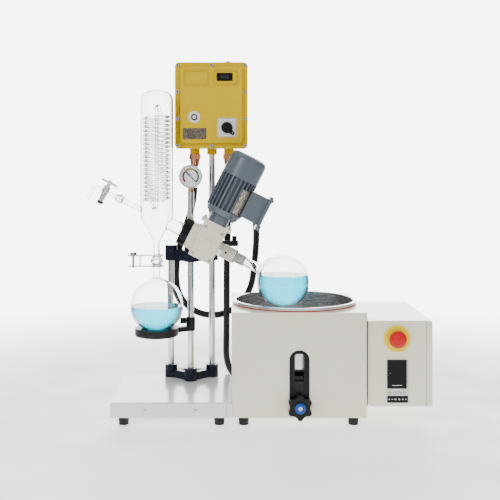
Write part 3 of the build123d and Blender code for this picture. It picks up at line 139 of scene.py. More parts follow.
class EvaporatorColours(bpy.types.PropertyGroup):
    """Colours of the paints, plastics and liquids"""

    cream: paint("Cream enamel", "Bath, controller and gearbox", (0.93, 0.87, 0.70))
    white: paint("White enamel", "Base plate of the stand", (0.93, 0.93, 0.93))
    yellow: paint("Yellow enamel", "Cast control box", (0.78, 0.52, 0.0))
    motor: paint("Motor paint", "Blue-grey paint of the drive motor", (0.10, 0.125, 0.155))
    navy: paint("Navy enamel", "Brackets on the rods", (0.003, 0.008, 0.026))
    liquid: paint("Liquid", "Dyed liquid in both flasks", (0.0, 0.50, 0.68))
    stop_red: paint("Stop button", "Red of the emergency stop's head", (0.62, 0.008, 0.010))
    stop_yellow: paint("Stop disc", "Yellow of the disc behind the stop", (1.0, 0.76, 0.0))


class EvaporatorSizes(bpy.types.PropertyGroup):
    """Sizes of the trim and of the glass coil"""

    coil_radius: measure("Coil radius", "Centre line of the glass coil", 0.0300, 0.01)
    coil_pitch: measure("Coil pitch", "Rise of one turn of the glass coil", 0.0105, 0.005)
    coil_tube: measure("Coil tube radius", "Radius of the coil's glass tube", 0.0042, 0.001)
    trim_width: measure("Slot trim width", "Width of the trim round the slot", 0.046, 0.03)


# Node materials

def join(tree, source, output, target, socket):
    """Links a node's output to a socket of another node."""
    tree.links.new(source.outputs[output], target.inputs[socket])


def noise(tree, place, scale, detail, stretch=None):
    """Noise in object coordinates, drawn out along an axis by stretch."""
    grain = tree.nodes.new("ShaderNodeTexNoise")
    grain.inputs["Scale"].default_value = scale
    grain.inputs["Detail"].default_value = detail
    if stretch:
        squeeze = tree.nodes.new("ShaderNodeMapping")
        squeeze.inputs["Scale"].default_value = stretch
        join(tree, place, "Object", squeeze, "Vector")
        join(tree, squeeze, "Vector", grain, "Vector")
    else:
        join(tree, place, "Object", grain, "Vector")
    return grain


def span(tree, source, low, high):
    """Spreads the middle of a noise over low to high."""
    reach = tree.nodes.new("ShaderNodeMapRange")
    for socket, value in (("From Min", 0.3), ("From Max", 0.7), ("To Min", low),
                          ("To Max", high)):
        reach.inputs[socket].default_value = value
    join(tree, source, "Fac", reach, "Value")
    return reach


def finish(name, colour, rough, metal=0.0, mottle=0.04, patch=14.0, grain=700.0, relief=0.06,
           depth=0.0002, stretch=None, sheen=0.0, coat=0.0, ior=1.5, through=0.0, glow=0.0):
    """A finish with patchy colour, uneven gloss and a fine surface grain."""
    made = bpy.data.materials.new(name)
    made.use_nodes = True
    tree = made.node_tree
    shader = tree.nodes["Principled BSDF"]
    place = tree.nodes.new("ShaderNodeTexCoord")
    patches = noise(tree, place, patch, 5.0)
    ramp = tree.nodes.new("ShaderNodeValToRGB")
    for element, position, change in zip(ramp.color_ramp.elements, (0.32, 0.70),
                                         (1 - mottle, 1 + mottle)):
        element.position = position
        element.color = [*(min(1, value * change) for value in colour), 1]
    join(tree, patches, "Fac", ramp, "Fac")
    join(tree, ramp, "Color", shader, "Base Color")
    wear = noise(tree, place, patch * 4, 4.0, stretch)
    gloss = span(tree, wear, rough * 0.8, rough * 1.2 + 0.01)
    join(tree, gloss, "Result", shader, "Roughness")
    if relief:
        bump = tree.nodes.new("ShaderNodeBump")
        bump.inputs["Strength"].default_value = relief
        bump.inputs["Distance"].default_value = depth
        join(tree, noise(tree, place, grain, 2.0, stretch), "Fac", bump, "Height")
        join(tree, bump, "Normal", shader, "Normal")
    for socket, value in (("Metallic", metal), ("IOR", ior), ("Transmission Weight", through),
                          ("Sheen Weight", sheen), ("Coat Weight", coat),
                          ("Coat Roughness", 0.06), ("Emission Color", (1, 1, 1, 1)),
                          ("Emission Strength", glow)):
        shader.inputs[socket].default_value = value
    return made


FINISHES = {}


def make_finishes(colours):
    """Every finish of the apparatus, by a maker's name."""
    enamel = dict(rough=0.22, mottle=0.015, patch=9, grain=420, relief=0.05, coat=0.35)
    table = {
        "white enamel": dict(enamel, colour=colours.white),
        "cream enamel": dict(enamel, colour=colours.cream),
        "cast cream": dict(enamel, colour=colours.cream, rough=0.3, grain=260, relief=0.16),
        "cream moulding": dict(colour=(0.80, 0.76, 0.66), rough=0.34, mottle=0.03, grain=900),
        "navy enamel": dict(enamel, colour=colours.navy, rough=0.24, coat=0.0, ior=1.35),
        "black casting": dict(colour=(0.008, 0.008, 0.010), rough=0.34, ior=1.35, grain=300,
                              relief=0.2),
        "chromed bar": dict(colour=(0.80, 0.81, 0.82), rough=0.07, metal=1, mottle=0.02,
                            patch=30, grain=200, relief=0.02, stretch=(1, 1, 0.05)),
        "yellow enamel": dict(enamel, colour=colours.yellow, rough=0.36, grain=300,
                              relief=0.14, coat=0.0, ior=1.25),
        "motor paint": dict(colour=colours.motor, rough=0.36, mottle=0.06, grain=380,
                            relief=0.3, coat=0.15),
        "brushed steel": dict(colour=(0.62, 0.63, 0.64), rough=0.24, metal=1, mottle=0.04,
                              patch=20, grain=160, relief=0.12, stretch=(1, 1, 14)),
        "rolled steel": dict(colour=(0.74, 0.75, 0.76), rough=0.26, metal=1, mottle=0.03,
                             patch=12, grain=120, relief=0.08, stretch=(1, 1, 10)),
        "turned steel": dict(colour=(0.70, 0.71, 0.72), rough=0.16, metal=1, mottle=0.03,
                             patch=60, grain=500, relief=0.05),
        "bronze": dict(colour=(0.50, 0.27, 0.13), rough=0.26, metal=1, mottle=0.10, patch=60,
                       grain=500, relief=0.08),
        "brass": dict(colour=(0.72, 0.50, 0.20), rough=0.24, metal=1, mottle=0.06, patch=60,
                      grain=500, relief=0.06),
        "copper gland": dict(colour=(0.66, 0.30, 0.16), rough=0.24, metal=1, mottle=0.10,
                             patch=70, grain=500, relief=0.08),
        "black moulding": dict(colour=(0.005, 0.005, 0.006), rough=0.34, ior=1.3, mottle=0.2,
                               grain=900, relief=0.12),
        "black rubber": dict(colour=(0.010, 0.010, 0.010), rough=0.62, ior=1.35, mottle=0.2,
                             grain=900, relief=0.3),
        "red rubber": dict(colour=(0.42, 0.02, 0.018), rough=0.5, mottle=0.08, grain=700,
                           relief=0.2),
        "lead jacket": dict(colour=(0.008, 0.007, 0.012), rough=0.44, ior=1.35, mottle=0.15,
                            patch=40, grain=600, relief=0.2, sheen=0.1),
        "fluoropolymer": dict(colour=(0.90, 0.90, 0.89), rough=0.38, mottle=0.01, patch=40,
                              grain=500, relief=0.04),
        "clear sleeve": dict(colour=(0.60, 0.62, 0.62), rough=0.3, mottle=0.06, patch=60,
                             grain=500, relief=0.08, through=0.35),
        "white moulding": dict(colour=(0.86, 0.86, 0.85), rough=0.28, mottle=0.01, grain=800),
        "grey moulding": dict(colour=(0.30, 0.31, 0.32), rough=0.35, mottle=0.03, grain=800),
        "stop red": dict(colour=colours.stop_red, rough=0.26, mottle=0.05, grain=700,
                         ior=1.35),
        "stop yellow": dict(colour=colours.stop_yellow, rough=0.32, ior=1.3, mottle=0.03,
                            grain=700),
        "dark window": dict(colour=(0.004, 0.004, 0.005), rough=0.10, mottle=0.3, grain=600,
                            relief=0.02, ior=1.25),
        "label film": dict(colour=(0.17, 0.14, 0.10), rough=0.34, metal=0.3, mottle=0.9,
                           patch=420, grain=500),
        "pressed plate": dict(colour=(0.36, 0.33, 0.28), rough=0.3, metal=0.6, mottle=0.9,
                              patch=330, grain=500),
        "dark bolt": dict(colour=(0.16, 0.15, 0.14), rough=0.3, metal=1, mottle=0.2, patch=80,
                          grain=500),
        # The white dial glows a little: painted light that brightens it behind the gauge's
        # glass
        "glowing dial white": dict(colour=(0.92, 0.92, 0.90), rough=0.45, glow=0.7, mottle=0.01,
                           grain=500),
        "dial red": dict(colour=(0.60, 0.02, 0.015), rough=0.45, mottle=0.05, grain=500),
        "dial yellow": dict(colour=(0.85, 0.55, 0.02), rough=0.45, mottle=0.05, grain=500),
        "dial green": dict(colour=(0.02, 0.32, 0.06), rough=0.45, mottle=0.05, grain=500),
        "ink": dict(colour=(0.01, 0.01, 0.01), rough=0.5, mottle=0.2, grain=500),
        "cap blue": dict(colour=(0.005, 0.07, 0.36), rough=0.28, mottle=0.06, patch=60,
                         grain=700, ior=1.35),
        "pale disc": dict(colour=(0.60, 0.66, 0.72), rough=0.25, mottle=0.05, patch=90,
                          grain=600),
        # A deeper yellow: painted shade at the feet of the control box's frames
        "painted yellow shade": dict(enamel, colour=[value * 0.55 for value in colours.yellow],
                             rough=0.5, coat=0.0, ior=1.2),
        "dim digits": dict(colour=(0.09, 0.09, 0.09), rough=0.3, mottle=0.1, grain=500),
        # Dark joints, seams and print, and also painted shade in the cover bolts' sockets
        "dark joint and painted shade": dict(colour=(0.02, 0.02, 0.02), rough=0.7, mottle=0.2, grain=500),
        "clear glass": dict(colour=(0.955, 0.972, 0.978), rough=0.012, mottle=0.004, patch=20,
                            grain=60, relief=0.015, depth=0.0004, ior=1.46, through=1.0),
        "ground glass": dict(colour=(0.93, 0.95, 0.96), rough=0.42, mottle=0.02, patch=80,
                             grain=1500, relief=0.2, ior=1.46, through=0.9),
        "coil glass": dict(colour=(0.93, 0.955, 0.965), rough=0.03, mottle=0.01, patch=60,
                           grain=90, relief=0.02, depth=0.0004, ior=1.46, through=1.0),
        "dyed liquid": dict(colour=colours.liquid, rough=0.02, mottle=0.08, patch=9, grain=30,
                            relief=0.01, ior=1.33, through=0.82),
        "floor paper": dict(colour=(0.95, 0.95, 0.95), rough=0.5, mottle=0.004, patch=2,
                            grain=80, relief=0.01, glow=0.9),
    }
    for name, values in table.items():
        FINISHES[name] = finish(name, **values)


SOLID_FINISHES = {
    "white enamel": ("base_plate",),
    "cream enamel": ("bath_housing", "controller_box", "controller_cover"),
    "cast cream": ("gearbox_housing", "gearbox_top_plate"),
    "cream moulding": ("flask_collar",),
    "navy enamel": ("lower_bracket", "upper_bracket"),
    "black casting": ("head_arm", "support_ring", "lift_bracket"),
    "chromed bar": ("rod_left", "rod_middle", "rod_right"),
    "yellow enamel": ("box_body", "box_cover"),
    "motor paint": ("motor_body", "fan_cowl", "terminal_box", "terminal_lid"),
    "rolled steel": ("bath_pan",),
    "brushed steel": ("heater_ring", "joint_clamp"),
    "turned steel": ("collar_nut", "cover_bolts", "gauge_case", "clamp_screw", "spindle",
                     "bearings", "motor_shaft"),
    "copper gland": ("cable_glands",),
    "bronze": ("worm_wheel",),
    "black moulding": ("cap_nut", "tilt_lock_knob", "ring_knob", "switch_knob", "star_knob",
                       "motor_fan"),
    "black rubber": ("mains_plug", "rubber_feet"),
    "red rubber": ("rim_gasket",),
    "ink": ("gauge_needle",),
    "clear glass": ("condenser_jacket", "feed_arm", "receiving_flask", "evaporating_flask",
                    "vapour_duct", "gauge_lens"),
    "dyed liquid": ("flask_liquid", "receiving_liquid"),
    "clear sleeve": ("neck_sleeve",),
    "fluoropolymer": ("stopcock_key",),
    "white moulding": ("start_button",),
    "stop red": ("stop_button",),
    "stop yellow": ("stop_disc",),
}


# Mesh helpers: shapes are added to one mesh in millimetres and then put in place

def square_to(way):
    """Two directions square to a direction and to each other."""
    way = way.normalized()
    other = UP if abs(way.z) < 0.9 else BACK
    side = (other - way * other.dot(way)).normalized()
    return side.cross(way), side


def circle(centre, first, second, radius, steps):
    """Points round a centre, from first towards second."""
    angles = [2 * pi * k / steps for k in range(steps)]
    return [centre + (first * cos(angle) + second * sin(angle)) * radius for angle in angles]


def corners(shape, points):
    return [shape.verts.new(point) for point in points]


def skin(shape, rings):
    """Quads between rings of equal count."""
    count = len(rings[0])
    for low, high in zip(rings, rings[1:]):
        for k in range(count):
            after = (k + 1) % count
            shape.faces.new((low[k], low[after], high[after], high[k]))


def close_ends(shape, rings):
    shape.faces.new(list(reversed(rings[0])))
    shape.faces.new(rings[-1])


def lathe(shape, profile, origin, way, steps=48):
    """Turns (radius, height) pairs round an axis; ends on the axis are closed."""
    way = way.normalized()
    first, second = square_to(way)
    rings = []
    for radius, height in profile:
        centre = origin + way * height
        points = circle(centre, first, second, radius, steps) if radius else [centre]
        rings.append(corners(shape, points))
    for low, high in zip(rings, rings[1:]):
        for k in range(steps):
            after = (k + 1) % steps
            if len(low) == 1:
                shape.faces.new((low[0], high[after], high[k]))
            elif len(high) == 1:
                shape.faces.new((low[k], low[after], high[0]))
            else:
                shape.faces.new((low[k], low[after], high[after], high[k]))


def outline(width, height, corner, steps=6):
    """Corner points of a rounded rectangle."""
    points = []
    for turn, (sx, sz) in enumerate(((1, 1), (-1, 1), (-1, -1), (1, -1))):
        for k in range(steps + 1):
            angle = radians(90 * turn + 90 * k / steps)
            points.append((sx * (width / 2 - corner) + corner * cos(angle),
                           sz * (height / 2 - corner) + corner * sin(angle)))
    return points


def slab(shape, points, origin, side, up, thickness, edge=0.0):
    """A plate from an outline, grown along side x up, its outer edge eased by edge."""
    out = side.cross(up).normalized()
    middle = sum((Vector((x, z, 0)) for x, z in points), Vector()) / len(points)
    rings = []
    for rise, shrink in ((0, 0), (thickness - edge, 0), (thickness, edge)):
        ring = []
        for x, z in points:
            inward = Vector((middle.x - x, middle.y - z, 0))
            if inward.length:
                inward = inward.normalized() * shrink
            ring.append(origin + side * (x + inward.x) + up * (z + inward.y) + out * rise)
        rings.append(corners(shape, ring))
    skin(shape, rings)
    close_ends(shape, rings)


def band(shape, outer, inner, origin, side, up, thickness):
    """A flat frame between two outlines of equal count."""
    out = side.cross(up).normalized()
    section = ((outer, 0), (outer, thickness), (inner, thickness), (inner, 0))
    rings = [corners(shape, [origin + side * x + up * z + out * rise for x, z in points])
             for points, rise in section]
    skin(shape, rings + rings[:1])


def tube(shape, points, radius, steps=10, closed=False):
    """A round tube through close points."""
    count = len(points)
    rings = []
    side = None
    for k, point in enumerate(points):
        before = points[k - 1] if k or closed else point
        after = points[(k + 1) % count] if k < count - 1 or closed else point
        way = (after - before).normalized()
        if side is None:
            side = square_to(way)[0]
        side = (side - way * side.dot(way)).normalized()
        rings.append(corners(shape, circle(point, side, way.cross(side), radius, steps)))
    if closed:
        skin(shape, rings + rings[:1])
    else:
        skin(shape, rings)
        close_ends(shape, rings)


def bolt(shape, origin, way, radius, height):
    """A socket-head screw with an eased rim and a hollow in its head."""
    floor = height * 0.45
    lathe(shape, [(radius, 0), (radius, height - 0.5), (radius - 0.5, height),
                  (radius * 0.5, height), (radius * 0.5, floor), (0, floor)], origin, way, 24)


def put_in_place(made, finish_name, body, replaces):
    """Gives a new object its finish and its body."""
    bpy.context.collection.objects.link(made)
    made.data.materials.append(FINISHES[finish_name])
    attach(made, body)
    if replaces:
        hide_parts(*replaces)
    return made


def piece(name, shape, finish_name, body, slot, smooth=True, replaces=()):
    """Puts the mesh in place as a piece of the apparatus."""
    bmesh.ops.recalc_face_normals(shape, faces=shape.faces)
    bmesh.ops.scale(shape, vec=(0.001, 0.001, 0.001), verts=shape.verts)
    mesh = bpy.data.meshes.new(name)
    shape.to_mesh(mesh)
    shape.free()
    if smooth:
        mesh.shade_smooth()
        mesh.set_sharp_from_angle(angle=radians(35))
    return put_in_place(bpy.data.objects.new(name, mesh), finish_name, body, replaces)


def turned(name, looks, profile, origin, way, steps):
    """A piece of one lathe; looks are its finish, its body and a slot name that is not used."""
    shape = bmesh.new()
    lathe(shape, profile, origin, way, steps)
    piece(name, shape, *looks)


def plate(name, looks, points, origin, thickness, edge=0.0, smooth=True, side=RIGHT):
    """A piece of one upright slab."""
    shape = bmesh.new()
    slab(shape, points, origin, side, UP, thickness, edge)
    piece(name, shape, *looks, smooth)


def rim(name, looks, outer, inner, origin, thickness):
    """A piece of one band that faces the front."""
    shape = bmesh.new()
    band(shape, outer, inner, origin, RIGHT, UP, thickness)
    piece(name, shape, *looks)


def lead(name, points, replaces):
    """A lead as one smooth curve."""
    curve = bpy.data.curves.new(name, "CURVE")
    curve.dimensions = "3D"
    curve.bevel_depth = LEAD_RADIUS / 1000
    curve.bevel_resolution = 6
    curve.resolution_u = 8
    curve.use_fill_caps = True
    line = curve.splines.new("NURBS")
    line.points.add(len(points) - 1)
    for point, (x, y, z) in zip(line.points, points):
        point.co = (x / 1000, y / 1000, z / 1000, 1)
    line.order_u = 3
    line.use_endpoint_u = True
    return put_in_place(bpy.data.objects.new(name, curve), "lead jacket", "stand",
                        replaces)


# Steps that dress the apparatus, in their order

class EVAP_OT_camera(bpy.types.Operator):
    """Sets the camera at the photograph's viewing angle"""

    bl_idname = "evaporator.camera"
    bl_label = "Camera"
    bl_options = {"REGISTER", "UNDO"}

    def execute(self, context):
        lens = bpy.data.cameras.new("camera")
        lens.sensor_width = 36
        lens.lens = 59.74
        lens.shift_x = 0.036
        lens.shift_y = -0.148
        lens.clip_end = 50
        view = bpy.data.objects.new("camera", lens)
        view.location = (-0.050, -2.0465, 0.576)
        view.rotation_euler = (radians(90), 0, 0)
        context.collection.objects.link(view)
        context.scene.camera = view
        return {"FINISHED"}


def coiled_route():
    """The mains lead's points, down behind the bath and round its coil."""
    route = list(MAINS_ROUTE)
    for turn, (radius, height) in enumerate(COIL_TURNS):
        last = turn == len(COIL_TURNS) - 1
        next_radius, next_height = COIL_TURNS[turn if last else turn + 1]
        for k in range(COIL_STEPS // 2 if last else COIL_STEPS):
            angle = radians(-75 + 30 * k)
            blend = max(0.0, (k - COIL_STEPS + 3) / 3)
            reach = (radius + (next_radius - radius) * blend) * COIL_SWELL
            route.append((COIL_CENTRE.x + reach * cos(angle),
                          COIL_CENTRE.y + reach * sin(angle),
                          height + (next_height - height) * blend))
    for x, z in ((0, 25.5), (-20, 24), (-38, 19.5)):
        route.append((COIL_CENTRE.x + x, COIL_CENTRE.y + COIL_TURNS[-1][0], z))
    return route


class EVAP_OT_leads(bpy.types.Operator):
    """Lays the motor lead and the coiled mains lead"""

    bl_idname = "evaporator.leads"
    bl_label = "Leads"
    bl_options = {"REGISTER", "UNDO"}

    def execute(self, context):
        outlet = at_head(132.8, 117, MOTOR_Y + 32)
        motor_points = [*MOTOR_ROUTE, (outlet.x, 74, outlet.z), tuple(outlet)]
        motor = lead("motor_lead", motor_points, ["motor_cable"])
        mains = lead("mains_lead", coiled_route(), ["mains_cable", "mains_coil"])
        return {"FINISHED"}


class EVAP_OT_finishes(bpy.types.Operator):
    """Gives every solid of the model its finish"""

    bl_idname = "evaporator.finishes"
    bl_label = "Finishes"
    bl_options = {"REGISTER", "UNDO"}

    def execute(self, context):
        for name, nodes in SOLID_FINISHES.items():
            for node in nodes:
                solid = bpy.data.objects.get(node)
                if solid is None:
                    raise RuntimeError("no solid named " + node)
                solid.data.materials.clear()
                solid.data.materials.append(FINISHES[name])
        return {"FINISHED"}


class EVAP_OT_stand_trim(bpy.types.Operator):
    """Adds the base plate's screws and seam and the brackets' set screws"""

    bl_idname = "evaporator.stand_trim"
    bl_label = "Stand trim"
    bl_options = {"REGISTER", "UNDO"}

    def execute(self, context):
        shape = bmesh.new()
        for x in (-250, -134):
            lathe(shape, [(4.5, 0), (4.2, 1.6), (2.5, 2.4), (0, 2.5)],
                  Vector((x, FRONT_Y, 38)), FRONT, 24)
        piece("base_screws", shape, "turned steel", "stand", "steel")
        plate("base_seam", ("dark joint and painted shade", "stand", "white_paint"), outline(0.9, 30, 0.4),
              Vector((-63, FRONT_Y, 39)), 0.12, smooth=False)
        shape = bmesh.new()
        for x, y in ((-208, 112.5), (RODS_X, 67.5), (RIGHT_ROD_X, 112.5)):
            for z in (72, 372):
                bolt(shape, Vector((x, y - 15.6, z)), FRONT, 3.4, 2.6)
        piece("bracket_screws", shape, "black moulding", "stand", "black_metal")
        return {"FINISHED"}


class EVAP_OT_box_face(bpy.types.Operator):
    """Adds painted shade at the control box's frames and in its bolt sockets, and its window,
    switch, start button's bezel and nameplate
    """

    bl_idname = "evaporator.box_face"
    bl_label = "Control box face"
    bl_options = {"REGISTER", "UNDO"}

    def execute(self, context):
        # Painted shade: thin bands of deeper yellow just inside and outside the cover's frames
        # stand in for the shadow at their feet
        shape = bmesh.new()
        for x, wide in ((-139, 62), (-66, 59)):
            for outer, inner in ((1.8, 0), (-4.8, -6.4)):
                band(shape, outline(wide + outer, 37 + outer, 3),
                     outline(wide + inner, 37 + inner, 2.4),
                     Vector((x, BOX_FACE_Y, 822)), RIGHT, UP, 0.08)
        piece("frame_shade", shape, "painted yellow shade", "stand", "yellow_paint", False)

        # Painted shade: dark discs on the cover bolts' heads stand in for the shadow in their
        # sockets
        shape = bmesh.new()
        bolt_x, bolt_z = 84.5, 101.5
        for z in (bolt_z, bolt_z / 3, -bolt_z / 3, -bolt_z):
            for x in (-bolt_x, 0, bolt_x) if abs(z) == bolt_z else (-bolt_x, bolt_x):
                lathe(shape, [(2.0, 0), (2.0, 0.5), (0, 0.5)],
                      Vector((RIGHT_ROD_X + x, COVER_FACE_Y, BOX_Z + z)), FRONT, 12)
        piece("cover_socket_shade", shape, "dark joint and painted shade", "stand", "black_plastic", False)

        plate("box_window", ("dark window", "stand", "black_plastic"), outline(40, 20, 1.5),
              BOX_WINDOW + FRONT * 0.4, 1.0, 0.4)
        shape = bmesh.new()
        for x in (-8.1, -2.6, 2.9, 8.4):
            band(shape, outline(3.4, 7.4, 0.6, 2), outline(2.2, 6.2, 0.4, 2),
                 BOX_WINDOW + Vector((x, -1.4, 0)), RIGHT, UP, 0.06)
        piece("box_window_digits", shape, "dim digits", "stand", "black_plastic", False)

        plate("switch_plate", ("white moulding", "stand", "white_plastic"),
              outline(48, 48, 3), SWITCH, 0.25)
        shape = bmesh.new()
        on_plate = SWITCH + FRONT * 0.25
        band(shape, outline(46, 46, 2.5), outline(44.4, 44.4, 2), on_plate, RIGHT, UP, 0.03)
        for angle in (135, 90, 45, 0, -45):
            way = Vector((cos(radians(angle)), 0, sin(radians(angle))))
            slab(shape, outline(0.9, 3.2, 0.3, 2), on_plate + way * 18, way.cross(FRONT), way,
                 0.03)
        piece("switch_scale", shape, "ink", "stand", "black_plastic", False)
        down = Vector((0.7071, 0, -0.7071))
        across = Vector((0.7071, 0, 0.7071))
        shape = bmesh.new()
        slab(shape, outline(9, 34, 3.4), SWITCH + down * 7.5 + FRONT * 6, across, down, 10.5,
             0.8)
        piece("switch_handle", shape, "black moulding", "rotary_switch", "black_plastic")
        shape = bmesh.new()
        slab(shape, outline(0.8, 3, 0.3, 3), SWITCH + down * 20 + FRONT * 16.5, across, down,
             0.1)
        piece("switch_pointer", shape, "white moulding", "rotary_switch", "white_plastic",
              False)

        turned("start_bezel", ("white moulding", "stand", "white_plastic"),
               [(8.9, 0), (15, 0), (15, 2.2), (14, 3.2), (11.2, 3.4), (10.6, 2.6), (8.9, 2.6),
                (8.9, 0)], START, FRONT, 56)
        turned("start_ring", ("black moulding", "start_key", "white_plastic"),
               [(4.9, 0), (7.8, 0), (7.8, 0.7), (4.9, 0.7), (4.9, 0)],
               START + FRONT * 5, FRONT, 48)

        plate("box_nameplate", ("label film", "stand", "steel"), outline(59, 28, 1.5),
              NAMEPLATE, 0.35, 0.1)
        shape = bmesh.new()
        for row in range(6):
            short = row % 3
            slab(shape, outline(46 - 7 * short, 0.7, 0.3, 2),
                 NAMEPLATE + Vector((-1.75 * short, -0.35, 9 - 3.6 * row)), RIGHT, UP, 0.04)
        for x in (-26.5, 26.5):
            for z in (-11, 11):
                lathe(shape, [(1.2, 0), (1.0, 0.5), (0, 0.6)],
                      NAMEPLATE + Vector((x, -0.3, z)), FRONT, 12)
        piece("box_nameplate_lines", shape, "dark joint and painted shade", "stand", "black_plastic", False)

        shape = bmesh.new()
        bolt(shape, Vector((-60, 92.5, BOX_TOP + 7)), UP, 4, 3.5)
        piece("box_lug_screw", shape, "turned steel", "stand", "steel")
        return {"FINISHED"}


class EVAP_OT_gauge(bpy.types.Operator):
    """Draws the vacuum gauge's dial and adds its needle and nipple"""

    bl_idname = "evaporator.gauge"
    bl_label = "Gauge"
    bl_options = {"REGISTER", "UNDO"}

    def execute(self, context):
        on_dial = DIAL + FRONT * 0.15
        # The dial face has a painted glow from its finish
        turned("dial_face", ("glowing dial white", "stand", "white_plastic"),
               [(0, 0), (26.2, 0), (26.2, 0.15), (0, 0.15)], DIAL, FRONT, 64)
        steps = 24
        for name, colour, start, end in (("dial_red", "dial red", 225, 140),
                                         ("dial_yellow", "dial yellow", 140, 62),
                                         ("dial_green", "dial green", 62, -45)):
            angles = [radians(start + (end - start) * k / steps) for k in range(steps + 1)]
            outer = [(21.5 * cos(angle), 21.5 * sin(angle)) for angle in angles]
            inner = [(16.5 * cos(angle), 16.5 * sin(angle)) for angle in reversed(angles)]
            plate(name, (colour, "stand", "white_plastic"), outer + inner, on_dial, 0.08,
                  smooth=False)
        shape = bmesh.new()
        for tick in range(31):
            angle = radians(225 - 9 * tick)
            way = Vector((cos(angle), 0, sin(angle)))
            wide, tall = (0.9, 3.4) if tick % 5 == 0 else (0.45, 2.0)
            slab(shape, outline(wide, tall, 0.2, 2), on_dial + way * (22.2 + tall / 2),
                 way.cross(FRONT), way, 0.1)
        for x, z, wide, tall in ((0, 9, 11, 1), (0, 5.6, 15, 0.8), (-6, -14, 2, 3),
                                 (6, -14, 2, 3)):
            slab(shape, outline(wide, tall, 0.3, 2), on_dial + Vector((x, 0, z)), RIGHT, UP,
                 0.1)
        piece("dial_ticks", shape, "ink", "stand", "black_plastic", False)

        turned("needle_hub", ("turned steel", "needle", "steel"),
               [(0, 0), (3.4, 0), (3.2, 0.8), (0, 1.0)], DIAL + FRONT * 2.2, FRONT, 24)
        shape = bmesh.new()
        slab(shape, [(-2, -17), (2, -17), (1.1, 20), (-1.1, 20)], DIAL + FRONT * 1.7,
             (RIGHT + UP).normalized(), (RIGHT - UP).normalized(), 0.5)
        piece("needle_blade", shape, "ink", "needle", "black_metal", False, ["gauge_needle"])
        turned("gauge_nipple", ("brass", "stand", "brass"),
               [(6.2, 0), (7.6, 0), (7.6, 4.5), (7.2, 5), (6.6, 5.4), (6.6, 7), (7.2, 7.4),
                (7.2, 10.4), (6.2, 11), (6.2, 0)], Vector((RODS_X, 67.5, 535.2)), UP, 24)
        return {"FINISHED"}


class EVAP_OT_head_trim(bpy.types.Operator):
    """Adds the cap's ribs, the gearbox's screws, the motor's plate and bolts and the collar's
    ring"""

    bl_idname = "evaporator.head_trim"
    bl_label = "Head trim"
    bl_options = {"REGISTER", "UNDO"}

    def execute(self, context):
        shape = bmesh.new()
        ribs = 40
        for k in range(ribs):
            angle = 2 * pi * k / ribs
            out = BACK * cos(angle) + UP_MOTOR * sin(angle)
            slab(shape, outline(15, 2.4, 0.8, 3), CAP + out * CAP_RADIUS, ACROSS,
                 out.cross(ACROSS), 1.3, 0.5)
        piece("cap_ribs", shape, "black moulding", "stand", "black_plastic")

        shape = bmesh.new()
        for u in (8, 53):
            for v in (-32, 38):
                bolt(shape, at_head(GEARBOX_U + u, v, GEARBOX_FRONT_Y), FRONT, 3.6, 2.2)
        piece("gearbox_screws", shape, "turned steel", "stand", "steel")
        turned("gearbox_plug", ("cast cream", "stand", "cream_paint"),
               [(13, 0), (13, 1.6), (12, 2.6), (4, 3.0), (0, 3.0)],
               at_head(WORM_U, 0, GEARBOX_FRONT_Y), FRONT, 40)
        shape = bmesh.new()
        for u in (-3, 64):
            for y in (-48, 32):
                bolt(shape, at_head(GEARBOX_U + u, GEARBOX_TOP_V, CAP.y + y), UP_MOTOR, 4.2, 4)
        piece("top_plate_screws", shape, "turned steel", "stand", "steel")

        shape = bmesh.new()
        for k in range(4):
            angle = radians(45 + 90 * k)
            place = (at_head(WORM_U, 79, MOTOR_Y)
                     + (ACROSS * cos(angle) + BACK * sin(angle)) * 42)
            for profile in ([(0, -4.5), (4.2, -4.5), (4.6, -4), (4.6, 0), (0, 0)],
                            [(0, 14), (4.6, 14), (4.6, 17.5), (4.2, 18), (0, 18)]):
                lathe(shape, profile, place, UP_MOTOR, 6)
        piece("shield_bolts", shape, "dark bolt", "stand", "steel", False)
        shape = bmesh.new()
        steps = 10
        axis = at_head(WORM_U, 0, MOTOR_Y)
        rows = []
        for k in range(steps + 1):
            angle = radians(-66 + 32 * k / steps)
            out = ACROSS * cos(angle) + BACK * sin(angle)
            rows.append(corners(shape, [
                axis + out * radius + UP_MOTOR * v
                for radius, v in ((46.1, 96), (46.9, 96), (46.9, 158), (46.1, 158))]))
        skin(shape, rows)
        close_ends(shape, rows)
        piece("motor_nameplate", shape, "pressed plate", "stand", "steel")
        shape = bmesh.new()
        for y in (-31, 31):
            for v in (94, 164):
                bolt(shape, at_head(LID_U, v, MOTOR_Y + y), ACROSS, 4.0, 3.4)
        piece("lid_screws", shape, "dark bolt", "stand", "steel")

        turned("collar_ring", ("black rubber", "flask_rotor", "black_plastic"),
               [(16.1, 0), (17.8, 0.6), (17.8, 2.2), (16.1, 2.8), (16.1, 0)],
               at_head(COLLAR_U), ACROSS, 48)
        shape = bmesh.new()
        for angle in (-90, 30, 150):
            out = BACK * sin(radians(angle)) + UP_MOTOR * cos(radians(angle))
            lathe(shape, [(2.6, 0), (2.6, 1.6), (1.9, 2.1), (0, 2.1)],
                  at_head(COLLAR_SCREW_U) + out * 17.0, out, 16)
        piece("collar_screws", shape, "black moulding", "flask_rotor", "black_plastic")
        return {"FINISHED"}


